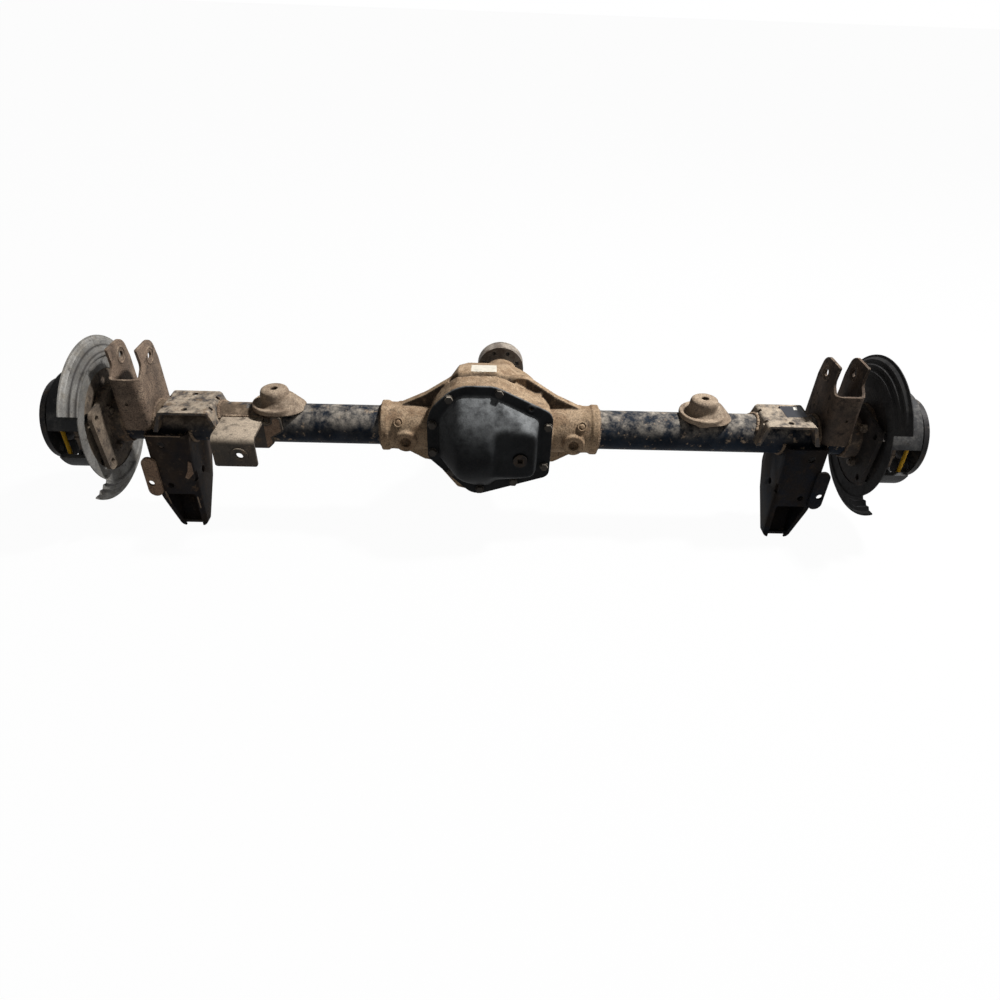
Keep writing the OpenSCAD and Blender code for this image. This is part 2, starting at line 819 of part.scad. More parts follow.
module shoe_spring() {
    color([0.72, 0.55, 0.12]) translate([shoe_web_x + shoe_web_t + 4, -adjuster_r - 9, -36])
        cylinder(h = 60, r = 4);
}

module shoe_spring_left() {
    on_left() shoe_spring();
}

module shoe_spring_right() {
    on_right() shoe_spring();
}

// Straight bevel gears: teeth run to the common apex, which is the local origin
function invol(a) = tan(a) * 180 / PI - a;
function half_tooth(h, r, pa, m, gap) =
    (PI * m / 2 - gap) / (2 * r) * 180 / PI + invol(pa) - invol(acos(min(1, r * cos(pa) / (r + h))));

module bevel_gear(n, delta, cone, face, add, ded, pa, back, bore) {
    m = 2 * cone * sin(delta) / n;
    rv = cone * tan(delta);
    low = max(-rv * (1 - cos(pa)), -ded * m * 0.8);
    levels = [-ded * m, 0, add * m];
    swing = [for (h = levels) half_tooth(max(h, low), rv, pa, m, tooth_gap)
             * (rv + h) / (cone * sin(delta + h / cone * 180 / PI))];
    order = [[0, -1], [1, -1], [2, -1], [2, 1], [1, 1], [0, 1]];
    points = 6 * n;
    spin = [for (i = [0:points - 1])
        let (k = order[i % 6])
        floor(i / 6) * 360 / n + k[1] * swing[k[0]]];
    lift = [for (i = [0:points - 1]) delta + levels[order[i % 6][0]] / cone * 180 / PI];
    base = delta - ded * m / cone * 180 / PI;
    toe = cone - face;
    loops = concat(
        [for (i = [0:points - 1]) toe * [sin(lift[i]) * cos(spin[i]), sin(lift[i]) * sin(spin[i]), cos(lift[i])]],
        [for (i = [0:points - 1]) cone * [sin(lift[i]) * cos(spin[i]), sin(lift[i]) * sin(spin[i]), cos(lift[i])]],
        [for (i = [0:points - 1]) [cone * sin(base) * cos(spin[i]), cone * sin(base) * sin(spin[i]), back]],
        [for (i = [0:points - 1]) [bore * cos(spin[i]), bore * sin(spin[i]), back]],
        [for (i = [0:points - 1]) [bore * cos(spin[i]), bore * sin(spin[i]), toe * cos(base)]]);
    faces = [for (k = [0:4], i = [0:points - 1])
        let (a = k * points + i, b = k * points + (i + 1) % points,
             c = ((k + 1) % 5) * points + (i + 1) % points, d = ((k + 1) % 5) * points + i)
        each [[a, d, c], [a, c, b]]];
    polyhedron(points = loops, faces = faces);
}

ring_teeth = 41;
pinion_teeth = 11;
side_teeth = 16;
spider_teeth = 10;
ring_delta = atan(ring_teeth / pinion_teeth);
side_delta = atan(side_teeth / spider_teeth);
ring_back = 56;
ring_bore = 60;
ring_bolt_r = 75;
ring_bolt_count = 10;

module pinion_gear() {
    color([0.5, 0.5, 0.52]) translate([pinion_x, 0, 0]) {
        rotate([-90, 0, 0]) bevel_gear(pinion_teeth, 90 - ring_delta, drive_cone, drive_face, 1, 0.75, 22.5,
                                       inner_race_y - 0.5, 12);
        turned_y([[drive_cone - drive_face - 2, 0], [drive_cone - drive_face - 2, 13],
                  [inner_race_y - 0.5, 13], [inner_race_y - 0.5, 22],
                  [outer_race_y - 20, 22], [outer_race_y - 10, 17], [286, 17], [286, 11], [302, 11], [302, 0]]);
    }
}

flange_y = 264;

flange_t = 32;
flange_hole_circle_r = 40;

module pinion_flange() {
    color([0.36, 0.31, 0.27]) translate([pinion_x, 0, 0]) difference() {
        turned_y([[outer_race_y + outer_race_w + 1, 17], [outer_race_y + outer_race_w + 1, 24], [flange_y, 24],
                  [flange_y, 51.5], [flange_y + flange_t, 51.5], [flange_y + flange_t, 30], [flange_y + 14, 30],
                  [flange_y + 14, 17]]);
        for (a = [0:45:315]) {
            rotate([0, a + 22.5, 0]) translate([flange_hole_circle_r, 0, 0])
                along_y(flange_y - 1, flange_y + flange_t + 1, 4.2);
        }
    }
}

module pinion_nut() {
    color([0.45, 0.43, 0.4]) translate([pinion_x, 0, 0]) difference() {
        union() {
            translate([0, flange_y + 14, 0]) rotate([-90, 0, 0]) cylinder(h = 18, r = 22, $fn = 6);
            along_y(flange_y + 14, flange_y + 18, 24);
        }
        along_y(flange_y, 286, 17);
        along_y(flange_y, 310, 11);
    }
}

module ring_gear() {
    color([0.5, 0.5, 0.52]) translate([pinion_x, 0, 0]) rotate([0, -90, 0]) rotate([0, 0, 90])
        bevel_gear(ring_teeth, ring_delta, drive_cone, drive_face, 0.5, 1.25, 22.5, ring_back, ring_bore);
}

module at_ring_bolts() {
    for (i = [0:ring_bolt_count - 1]) {
        rotate([i * 360 / ring_bolt_count, 0, 0]) translate([0, ring_bolt_r, 0]) children();
    }
}

case_flange_t = 10;
ring_back_x = pinion_x - ring_back;

module ring_gear_bolts() {
    color([0.25, 0.25, 0.27]) at_ring_bolts() {
        along_x(ring_back_x - case_flange_t, ring_back_x, 5);
        translate([ring_back_x - case_flange_t - 6, 0, 0]) rotate([0, 90, 0])
            cylinder(h = 6, r = 8.5, $fn = 6);
    }
}

pocket = 47.6;
side_back = 38.4;
pin_r = 8;
spider_gap = 0.35;

module differential_case() {
    color([0.4, 0.39, 0.38]) difference() {
        turned_x([[left_bearing_x - 1, 0], [left_bearing_x - 1, trunnion_r], [left_bearing_x + 20.5, trunnion_r],
                  [left_bearing_x + 20.5, 30], [ring_back_x - case_flange_t, 34], [ring_back_x - case_flange_t, 88],
                  [ring_back_x, 88], [ring_back_x, ring_bore - fit], [ring_back_x + 16, ring_bore - fit],
                  [ring_back_x + 18, case_r], [64, case_r], [70, 40], [right_bearing_x - 0.5, 30],
                  [right_bearing_x - 0.5, trunnion_r], [right_bearing_x + 21, trunnion_r],
                  [right_bearing_x + 21, 0]]);
        along_x(pinion_x - side_back, pinion_x + side_back, 48.5);
        along_x(-100, 110, shaft_r + 1);
        translate([pinion_x, 0, -pocket]) cylinder(h = 2 * pocket, r = 27);
        bar([pinion_x - 24, pinion_x + 24], [-70, 70], [-26, 26]);
        translate([pinion_x, 0, -70]) cylinder(h = 140, r = pin_r + fit);
        at_ring_bolts() along_x(ring_back_x - 20, ring_back_x + 1, 5.1);
    }
}

module cross_pin() {
    color([0.55, 0.55, 0.57]) translate([pinion_x, 0, -case_r + 1]) cylinder(h = 2 * case_r - 2, r = pin_r);
}

module spider_gear_upper() {
    color([0.52, 0.52, 0.54]) translate([pinion_x, 0, 0]) rotate([0, 0, 18])
        bevel_gear(spider_teeth, 90 - side_delta, diff_cone, diff_face, 1, 0.8, 25, pocket - 0.4, pin_r + spider_gap);
}

module spider_gear_lower() {
    color([0.52, 0.52, 0.54]) translate([pinion_x, 0, 0]) rotate([180, 0, 0]) rotate([0, 0, 18])
        bevel_gear(spider_teeth, 90 - side_delta, diff_cone, diff_face, 1, 0.8, 25, pocket - 0.4, pin_r + spider_gap);
}

module side_gear_left() {
    color([0.52, 0.52, 0.54]) translate([pinion_x, 0, 0]) rotate([0, -90, 0])
        bevel_gear(side_teeth, side_delta, diff_cone, diff_face, 0.55, 1.25, 25, side_back - 0.4, shaft_r);
}

module side_gear_right() {
    color([0.52, 0.52, 0.54]) translate([pinion_x, 0, 0]) rotate([0, 90, 0])
        bevel_gear(side_teeth, side_delta, diff_cone, diff_face, 0.55, 1.25, 25, side_back - 0.4, shaft_r);
}

// Axle shafts with wheel flanges
module axle_shaft(start) {
    r = shaft_r - fit;
    color([0.42, 0.38, 0.35]) difference() {
        turned_x([[start, 0], [start, r], [tube_end - 20, r], [tube_end - 14, wheel_journal_r],
                  [flange_face + 8, wheel_journal_r], [flange_face + 14, 30], [half_track - wheel_flange_t - 12, 34],
                  [half_track - wheel_flange_t, 44], [half_track - wheel_flange_t, wheel_flange_d / 2],
                  [half_track, wheel_flange_d / 2], [half_track, 36], [half_track - 3, 34], [half_track - 3, 0]]);
        for (a = [0:72:288]) {
            rotate([a, 0, 0]) translate([0, stud_circle_d / 2, 0])
                along_x(half_track - 20, half_track + 1, stud_hole_d / 2);
        }
    }
}

module axle_shaft_left() {
    on_left() axle_shaft(10 - pinion_x);
}

module axle_shaft_right() {
    on_right() axle_shaft(pinion_x + 10);
}

center_housing();
axle_tube_left();
axle_tube_right();
tube_flange_left();
tube_flange_right();
bearing_caps();
bearing_cap_bolts();
diff_cover();
cover_bolts();
fill_plug();
pinion_seal();
pinion_bearing_inner();
pinion_bearing_outer();
carrier_bearing_left();
carrier_bearing_right();
wheel_bearing_left();
wheel_bearing_right();
bearing_retainer_left();
bearing_retainer_right();
spring_perch_left();
spring_perch_right();
upper_arm_bracket_left();
upper_arm_bracket_right();
lower_arm_bracket_left();
lower_arm_bracket_right();
link_tab_left();
link_tab_right();
track_bar_bracket();
bump_pad_left();
bump_pad_right();
backing_plate_left();
backing_plate_right();
dust_shield_left();
dust_shield_right();
caliper_bracket_left();
caliper_bracket_right();
flange_nuts_left();
flange_nuts_right();
park_shoes_left();
park_shoes_right();
shoe_adjuster_left();
shoe_adjuster_right();
shoe_spring_left();
shoe_spring_right();
pinion_gear();
pinion_flange();
pinion_nut();
ring_gear();
ring_gear_bolts();
differential_case();
cross_pin();
spider_gear_upper();
spider_gear_lower();
side_gear_left();
side_gear_right();
axle_shaft_left();
axle_shaft_right();
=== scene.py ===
import bmesh
import bpy
import math
from mathutils import Matrix, Vector
from mathutils.geometry import intersect_point_line


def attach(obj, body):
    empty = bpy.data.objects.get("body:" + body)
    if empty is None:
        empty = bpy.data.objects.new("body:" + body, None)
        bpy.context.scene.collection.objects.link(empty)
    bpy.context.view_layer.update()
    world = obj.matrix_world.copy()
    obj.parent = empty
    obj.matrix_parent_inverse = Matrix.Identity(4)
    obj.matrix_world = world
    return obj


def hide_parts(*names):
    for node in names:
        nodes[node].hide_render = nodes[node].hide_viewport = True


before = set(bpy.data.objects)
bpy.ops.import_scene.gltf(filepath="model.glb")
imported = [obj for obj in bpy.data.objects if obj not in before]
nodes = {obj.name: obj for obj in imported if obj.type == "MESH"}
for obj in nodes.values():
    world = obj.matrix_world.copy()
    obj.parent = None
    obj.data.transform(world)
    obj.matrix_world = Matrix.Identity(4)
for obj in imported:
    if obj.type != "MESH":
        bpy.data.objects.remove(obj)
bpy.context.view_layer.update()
shop = bpy.context.scene


# Centre housing: a rough grey iron casting with a thin brown rust bloom.
# It is sand cast in one piece, so every inside corner has a fillet and the skin is grainy.
def joined_copy(node, name):
    """A piece with the CAD solid's mesh, its loose triangles joined."""
    mesh = nodes[node].data.copy()
    mesh.transform(nodes[node].matrix_world)
    mesh.name = name
    mesh.materials.clear()
    work = bmesh.new()
    work.from_mesh(mesh)
    bmesh.ops.remove_doubles(work, verts=work.verts, dist=1e-6)
    work.to_mesh(mesh)
    work.free()
    return placed(name, mesh)


def placed(name, data):
    """The mesh, lamp or camera as an object in the scene."""
    piece = bpy.data.objects.new(name, data)
    shop.collection.objects.link(piece)
    return piece


def shade_smooth(mesh):
    """Smooth shading on every face."""
    for face in mesh.polygons:
        face.use_smooth = True


def settle(piece):
    """Turns the piece's modifiers into plain mesh."""
    graph = bpy.context.evaluated_depsgraph_get()
    mesh = bpy.data.meshes.new_from_object(piece.evaluated_get(graph))
    piece.modifiers.clear()
    piece.data = mesh
    mesh.name = piece.name
    return piece


def cast_skin(piece, voxel, passes, lump=0.0):
    """Rounds every edge as sand casting does and adds shallow lumps to the skin."""
    remesh = piece.modifiers.new("skin", "REMESH")
    remesh.mode = "VOXEL"
    remesh.voxel_size = voxel
    remesh.use_smooth_shade = True
    soften = piece.modifiers.new("fillets", "SMOOTH")
    soften.factor = 0.5
    soften.iterations = passes
    if lump:
        cloud = bpy.data.textures.new(piece.name + "_lumps", "CLOUDS")
        cloud.noise_scale = 0.01
        cloud.noise_depth = 3
        lumps = piece.modifiers.new("lumps", "DISPLACE")
        lumps.texture = cloud
        lumps.strength = lump
        lumps.mid_level = 0.5
        lumps.texture_coords = "LOCAL"
    settle(piece)
    shade_smooth(piece.data)
    return piece


def thin_out(piece, share):
    """Joins small triangles on flat skin until this share is left."""
    fewer = piece.modifiers.new("fewer", "DECIMATE")
    fewer.ratio = share
    settle(piece)
    shade_smooth(piece.data)


def finish_piece(piece, body, slot, material, *replaced):
    """Gives the piece its finish, its body and the CAD solids it stands for."""
    piece.data.materials.clear()
    piece.data.materials.append(material)
    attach(piece, body)
    if replaced:
        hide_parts(*replaced)


def node_at(tree, kind, at, **settings):
    """A new node at this place in the tree's layout, with these settings."""
    node = tree.nodes.new(kind)
    node.location = at
    for key, value in settings.items():
        setattr(node, key, value)
    return node


def cloud_mask(tree, where, at, scale, span, detail=6.0, rough=0.6, offset=0.0):
    """A mask from noise: 0 below the span's first level, 1 above its second."""
    shift = node_at(tree, "ShaderNodeMapping", (at[0] - 200, at[1]))
    shift.inputs["Location"].default_value = (offset, offset * 0.7, offset * 0.3)
    tree.links.new(where, shift.inputs["Vector"])
    noise = node_at(tree, "ShaderNodeTexNoise", at)
    noise.inputs["Scale"].default_value = scale
    noise.inputs["Detail"].default_value = detail
    noise.inputs["Roughness"].default_value = rough
    tree.links.new(shift.outputs["Vector"], noise.inputs["Vector"])
    ramp = node_at(tree, "ShaderNodeMapRange", (at[0] + 200, at[1]), interpolation_type="SMOOTHSTEP")
    ramp.inputs["From Min"].default_value, ramp.inputs["From Max"].default_value = span
    tree.links.new(noise.outputs["Fac"], ramp.inputs["Value"])
    return ramp.outputs["Result"]


def blend_colour(tree, mask, under, over, at):
    """Lays one colour over another where the mask is 1; each is a colour or a socket."""
    mix = node_at(tree, "ShaderNodeMix", at, data_type="RGBA")
    tree.links.new(mask, mix.inputs["Factor"])
    sides = [s for s in mix.inputs if s.type == "RGBA"]
    for socket, value in zip(sides, (under, over)):
        if isinstance(value, tuple):
            socket.default_value = (*value, 1.0)
        else:
            tree.links.new(value, socket)
    return [s for s in mix.outputs if s.type == "RGBA"][0]


def blend_value(tree, mask, under, over, at):
    """The same for a plain number."""
    mix = node_at(tree, "ShaderNodeMix", at, data_type="FLOAT")
    tree.links.new(mask, mix.inputs[0])
    for socket, value in ((mix.inputs[2], under), (mix.inputs[3], over)):
        if isinstance(value, float):
            socket.default_value = value
        else:
            tree.links.new(value, socket)
    return mix.outputs[0]


def times(tree, a, b, at):
    """Two masks multiplied, held between 0 and 1."""
    product = node_at(tree, "ShaderNodeMath", at, operation="MULTIPLY", use_clamp=True)
    for socket, value in ((product.inputs[0], a), (product.inputs[1], b)):
        if isinstance(value, float):
            socket.default_value = value
        else:
            tree.links.new(value, socket)
    return product.outputs[0]


def facing_up(tree, least):
    """1 on faces that look up, falling to least on those that look down."""
    normal = node_at(tree, "ShaderNodeNewGeometry", (-1600, -400)).outputs["Normal"]
    parts = node_at(tree, "ShaderNodeSeparateXYZ", (-1400, -400))
    tree.links.new(normal, parts.inputs["Vector"])
    upward = node_at(tree, "ShaderNodeMapRange", (-1200, -400), interpolation_type="SMOOTHSTEP")
    upward.inputs["From Min"].default_value = -0.15
    upward.inputs["From Max"].default_value = 0.95
    upward.inputs["To Min"].default_value = least
    tree.links.new(parts.outputs["Z"], upward.inputs["Value"])
    return upward.outputs["Result"]


def weathered(name, coat, coat_alt, stain, stain_span, dust, dust_span, dust_top, speck, gloss, dull,
              grain, grain_size, metal=0.0, sheen=0.05, layers=()):
    """A worn finish: a coat in two shades, stains that break through it, dust on upward faces and fine specks.

    Each span gives the noise levels between which stain or dust comes in. gloss and dull are the roughness of
    coat and stain, grain and grain_size the bump. layers add what only one finish has, under the specks.
    """
    speck_colour, dust_rough, stain_level, bump_depth = (0.025, 0.02, 0.018), 0.92, 0.35, 0.0012
    material = bpy.data.materials.new(name)
    material.use_nodes = True
    tree = material.node_tree
    shader = tree.nodes["Principled BSDF"]
    where = node_at(tree, "ShaderNodeTexCoord", (-1600, 0)).outputs["Object"]
    patches = cloud_mask(tree, where, (-1200, 500), scale=22.0, span=(0.38, 0.64), offset=3.1)
    shade = blend_colour(tree, patches, coat, coat_alt, (-700, 500))
    breaks = cloud_mask(tree, where, (-1200, 200), scale=60.0, span=stain_span, detail=9.0, rough=0.72,
                        offset=7.7)
    stained = blend_colour(tree, breaks, shade, stain, (-450, 400))
    upward = facing_up(tree, 1.0 - dust_top)
    film = cloud_mask(tree, where, (-1200, -100), scale=42.0, span=dust_span, detail=9.0, rough=0.7,
                      offset=1.9)
    dusty = times(tree, film, upward, (-800, -200))
    covered = blend_colour(tree, dusty, stained, dust, (-200, 300))
    for layer in layers:
        covered = layer(tree, where, upward, film, covered)
    specks = cloud_mask(tree, where, (-1200, -700), scale=420.0, span=(0.42, 0.68), detail=3.0, rough=0.55,
                        offset=5.3)
    speckled = times(tree, specks, speck, (-800, -600))
    final = blend_colour(tree, speckled, covered, speck_colour, (0, 300))
    tree.links.new(final, shader.inputs["Base Color"])
    worn = blend_value(tree, breaks, gloss, dull, (-450, -300))
    rough = blend_value(tree, dusty, worn, dust_rough, (-200, -300))
    tree.links.new(rough, shader.inputs["Roughness"])
    shader.inputs["Metallic"].default_value = metal
    shader.inputs["Specular IOR Level"].default_value = sheen
    tooth = node_at(tree, "ShaderNodeTexNoise", (-1000, -1000))
    tooth.inputs["Scale"].default_value = grain_size
    tooth.inputs["Detail"].default_value = 5.0
    tree.links.new(where, tooth.inputs["Vector"])
    lift = blend_value(tree, breaks, tooth.outputs["Fac"], stain_level, (-700, -900))
    bump = node_at(tree, "ShaderNodeBump", (-200, -700))
    bump.inputs["Strength"].default_value = grain
    bump.inputs["Distance"].default_value = bump_depth
    tree.links.new(lift, bump.inputs["Height"])
    tree.links.new(bump.outputs["Normal"], shader.inputs["Normal"])
    return material


def shade_in_pockets(tree, where, upward, film, covered):
    """Painted shade in oil-like streaks, where the piece's own attribute for painted shade and grime is high.
    """
    pocket = node_at(tree, "ShaderNodeAttribute", (-700, 1200), attribute_name="shade_and_grime")
    streaks = cloud_mask(tree, where, (-700, 1400), scale=80.0, span=(0.15, 0.55), rough=0.7, offset=8.8)
    streaked_shade = times(tree, pocket.outputs["Fac"], streaks, (-400, 1200))
    # Painted shade: near black laid over the pockets in streaks.
    pocket_shade_black = (0.016, 0.013, 0.011)
    return blend_colour(tree, streaked_shade, covered, pocket_shade_black, (-100, 700))


MM = 0.001


def pressed_line(piece, run, reach, depth):
    """Presses a groove into the skin along a path, where the crown steps down to the face band.

    It also lays painted shade, with some grime, in the groove, and painted shade on the front-facing faces
    under the arched webs beside it.
    """
    path = [Vector(p) * MM for p in run]
    low = Vector(min(p[i] for p in path) - reach for i in range(3))
    high = Vector(max(p[i] for p in path) + reach for i in range(3))
    web_near, web_far, web_front, web_back, web_foot = 0.066, 0.172, -0.012, 0.030, 0.046
    shaded, web_shade = -0.45, 0.85
    shade_and_grime = piece.data.attributes.new("shade_and_grime", "FLOAT", "POINT")
    for point in piece.data.vertices:
        spot = point.co.copy()
        if all(low[i] < spot[i] < high[i] for i in range(3)):
            gap = 1.0
            for start, end in zip(path, path[1:]):
                share = intersect_point_line(spot, start, end)[1]
                foot = start.lerp(end, min(1.0, max(0.0, share)))
                gap = min(gap, (spot - foot).length / reach)
            press = (1.0 - gap * gap) ** 2
            point.co = spot - Vector((0.0, 0.0, depth * press))
            # Painted shade, with some grime, along the groove.
            shade_and_grime.data[point.index].value = press
        # Painted shade on the faces under the webs that look to the front.
        under_web = web_near < abs(spot.x) < web_far and web_front < spot.y < web_back and spot.z > web_foot
        if under_web and point.normal.y < shaded:
            shade_and_grime.data[point.index].value = web_shade


# The cast iron takes painted shade in the groove and under the arched webs, through its pockets layer.
cast_iron = weathered(
    "cast_iron", coat=(0.232, 0.163, 0.102), coat_alt=(0.172, 0.112, 0.068), stain=(0.058, 0.044, 0.033),
    stain_span=(0.52, 0.70), dust=(0.312, 0.228, 0.150), dust_span=(0.40, 0.64), dust_top=0.75, speck=0.60,
    gloss=0.80, dull=0.90, grain=0.60, grain_size=260.0, layers=[shade_in_pockets])
casting = cast_skin(joined_copy("center_housing", "casting"), voxel=0.0022, passes=3, lump=0.0006)
thin_out(casting, share=0.74)
crown_step = [(-76, -4, 104), (-66, -10, 113), (-58, -14, 117.8), (-50, -11.7, 118.4), (-25, -6.3, 118.8),
              (0, -9, 118.6), (15, -8.2, 116), (28, -3, 109.4), (41, -3.5, 105)]
pressed_line(casting, crown_step, reach=0.0080, depth=0.0075)
finish_piece(casting, "housing", "cast_iron", cast_iron, "center_housing")


# Paper label: a blank off-white sticker on top of the casting, following its curve.
# It is glued on and carries no print.
def plain(name, colour, rough):
    """One flat finish, faintly mottled."""
    material = bpy.data.materials.new(name)
    material.use_nodes = True
    tree = material.node_tree
    shader = tree.nodes["Principled BSDF"]
    where = node_at(tree, "ShaderNodeTexCoord", (-900, 0)).outputs["Object"]
    dirt = cloud_mask(tree, where, (-600, 0), scale=90.0, span=(0.45, 0.75), detail=5.0, offset=2.2)
    worn = tuple(c * 0.72 for c in colour)
    tree.links.new(blend_colour(tree, dirt, colour, worn, (-200, 0)), shader.inputs["Base Color"])
    shader.inputs["Roughness"].default_value = rough
    shader.inputs["Specular IOR Level"].default_value = 0.2
    return material


def sheet(name, corners, steps, lift, surface=None):
    """A thin patch between four corners, laid on a surface below it when one is given."""
    across, along = steps
    points = []
    for j in range(along + 1):
        for i in range(across + 1):
            u, v = i / across, j / along
            near = Vector(corners[0]).lerp(Vector(corners[1]), u)
            far = Vector(corners[3]).lerp(Vector(corners[2]), u)
            spot = near.lerp(far, v) * MM
            if surface:
                spot = surface.ray_cast(spot, Vector((0.0, 0.0, -1.0)))[1]
            points.append(spot + Vector((0.0, 0.0, lift)))
    row = across + 1
    faces = [(j * row + i, j * row + i + 1, (j + 1) * row + i + 1, (j + 1) * row + i)
             for j in range(along) for i in range(across)]
    mesh = bpy.data.meshes.new(name)
    mesh.from_pydata(points, [], faces)
    return placed(name, mesh)


label = sheet("blank_label", [(-38, 0, 150), (10, 0, 150), (10, 48, 150), (-38, 48, 150)], steps=(16, 16),
              lift=0.0004, surface=casting)
finish_piece(label, "housing", "cast_iron", plain("label_paper", (0.42, 0.39, 0.33), 0.7))


# Plug welds and boss rims: filler in the collars' four holes, which locks the tubes in the casting,
# and the machined faces round the two threaded bosses. Both are rusted over like the casting.
def turned(name, profile, places):
    """A round form about each place's own axis; the profile runs outward as radius and height."""
    sides = 36
    angles = [2.0 * math.pi * i / sides for i in range(sides)]
    work = bmesh.new()
    for place, axis in places:
        turn = Vector(axis).to_track_quat("Z", "X").to_matrix().to_4x4()
        spot = Matrix.Translation(Vector(place) * MM) @ turn
        rings = []
        for radius, height in profile:
            ring = [spot @ (Vector((radius * math.cos(t), radius * math.sin(t), height)) * MM) for t in angles]
            rings.append([work.verts.new(p) for p in ring])
        for low, high in zip(rings, rings[1:]):
            for i in range(sides):
                work.faces.new((low[i], low[i - 1], high[i - 1], high[i]))
    mesh = bpy.data.meshes.new(name)
    work.to_mesh(mesh)
    work.free()
    shade_smooth(mesh)
    return placed(name, mesh)


plug_profile = [(0.1, 1.8), (3.0, 1.7), (4.8, 0.8), (5.6, -0.9), (6.6, -0.9), (7.4, 1.0), (8.8, 1.1),
                (10.0, -1.5)]
plugs = turned("plug_welds", plug_profile,
               [((x, y, 27.9), (0, y, 27.9)) for x in (-175, 175.5) for y in (-38.6, 38.6)])
finish_piece(plugs, "housing", "cast_iron", cast_iron)
rim_profile = [(10.0, -8.0), (10.0, -0.4), (10.8, 0.5), (19.0, 0.5), (20.6, -0.6), (21.4, -3.0)]
rims = turned("boss_rims", rim_profile, [((x, -52, -8), (0, -1, 0)) for x in (-161, 161)])
finish_piece(rims, "housing", "cast_iron", cast_iron)


# Axle tubes: drawn steel tube pressed into the casting and plug welded, with forged ends welded on.
# Navy-black paint, flaked to sandy dust and rust in patches, most of all at the left end.
def sandy_end(tree, where, upward, film, covered):
    """A ragged sandy crust that takes over towards the left end, on upward faces."""
    start, spread, soft_from, soft_to = -0.310, 0.35, 0.05, 0.02
    along = node_at(tree, "ShaderNodeSeparateXYZ", (-1400, 900))
    tree.links.new(where, along.inputs["Vector"])
    ragged = cloud_mask(tree, where, (-1200, 1100), scale=30.0, span=(0.2, 0.8), detail=8.0, rough=0.7,
                        offset=4.4)
    shifted = node_at(tree, "ShaderNodeMath", (-900, 900), operation="MULTIPLY_ADD")
    tree.links.new(ragged, shifted.inputs[0])
    shifted.inputs[1].default_value = spread
    tree.links.new(along.outputs["X"], shifted.inputs[2])
    bare = node_at(tree, "ShaderNodeMapRange", (-700, 900), interpolation_type="SMOOTHSTEP")
    bare.inputs["From Min"].default_value = start + soft_from
    bare.inputs["From Max"].default_value = start + soft_to
    tree.links.new(shifted.outputs[0], bare.inputs["Value"])
    settled = times(tree, bare.outputs["Result"], upward, (-500, 900))
    thin, thick = (tuple(c * share for c in navy["stain"]) for share in (0.35, 1.15))
    crust = blend_colour(tree, film, thin, thick, (-300, 900))
    return blend_colour(tree, settled, covered, crust, (-100, 500))


def paint_nodes(material, *names):
    """Gives the CAD solids their finish."""
    for name in names:
        mesh = nodes[name].data
        mesh.materials.clear()
        mesh.materials.append(material)


navy = dict(coat=(0.004, 0.007, 0.012), coat_alt=(0.008, 0.013, 0.021), stain=(0.230, 0.170, 0.118),
            stain_span=(0.57, 0.66), dust=(0.300, 0.265, 0.222), dust_span=(0.38, 0.74), speck=0.30,
            gloss=0.50, dull=0.85, grain=0.30, grain_size=300.0, sheen=0.02)
tube_paint = weathered("tube_paint", dust_top=0.98, **navy)
tube_worn = weathered("tube_worn", dust_top=0.95, layers=[sandy_end], **navy)
forged_end = weathered(
    "forged_end", coat=(0.060, 0.046, 0.036), coat_alt=(0.034, 0.028, 0.024), stain=(0.150, 0.098, 0.060),
    stain_span=(0.52, 0.66), dust=(0.230, 0.172, 0.120), dust_span=(0.46, 0.66), dust_top=0.7, speck=0.5,
    gloss=0.6, dull=0.85, grain=0.45, grain_size=280.0)
paint_nodes(tube_worn, "axle_tube_left")
paint_nodes(tube_paint, "axle_tube_right")
paint_nodes(forged_end, "tube_flange_left", "tube_flange_right")


# Welds: rippled beads of filler where the tubes meet the casting, the forged ends and the brackets.
# Each bead is a row of overlapping drops laid along its path.
def new_tree(name, inputs):
    """A geometry tree with named inputs; returns the tree with its two ends."""
    tree = bpy.data.node_groups.new(name, "GeometryNodeTree")
    for title, kind in inputs:
        tree.interface.new_socket(title, in_out="INPUT", socket_type="NodeSocket" + kind)
    tree.interface.new_socket("Geometry", in_out="OUTPUT", socket_type="NodeSocketGeometry")
    return tree, node_at(tree, "NodeGroupInput", (-900, 0)), node_at(tree, "NodeGroupOutput", (900, 0))


def link_all(tree, pairs):
    """Links each output to the input beside it."""
    for out, inward in pairs:
        tree.links.new(out, inward)


def run_tree(piece, tree, **values):
    """Runs the tree on the piece with these inputs and keeps the result as plain mesh."""
    step = piece.modifiers.new(tree.name, "NODES")
    step.node_group = tree
    keys = {item.name: item.identifier for item in tree.interface.items_tree if item.in_out == "INPUT"}
    for title, value in values.items():
        step[keys[title]] = value
    return settle(piece)


bead_tree, entry, leave = new_tree("weld_bead", [
    ("Geometry", "Geometry"), ("Spacing", "Float"), ("Width", "Float"), ("Seed", "Int"),
    ("Finish", "Material")])
path = node_at(bead_tree, "GeometryNodeMeshToCurve", (-700, 100))
drops = node_at(bead_tree, "GeometryNodeResampleCurve", (-500, 100), mode="LENGTH")
drop = node_at(bead_tree, "GeometryNodeMeshIcoSphere", (-500, -100))
drop.inputs["Subdivisions"].default_value = 2
uneven = node_at(bead_tree, "FunctionNodeRandomValue", (-700, -300), data_type="FLOAT_VECTOR")
uneven.inputs[0].default_value = (0.75, 0.75, 0.65)
uneven.inputs[1].default_value = (1.15, 1.15, 1.0)
sized = node_at(bead_tree, "ShaderNodeVectorMath", (-500, -300), operation="SCALE")
laid = node_at(bead_tree, "GeometryNodeInstanceOnPoints", (-200, 0))
joined = node_at(bead_tree, "GeometryNodeRealizeInstances", (100, 0))
smooth = node_at(bead_tree, "GeometryNodeSetShadeSmooth", (300, 0))
coated = node_at(bead_tree, "GeometryNodeSetMaterial", (500, 0))
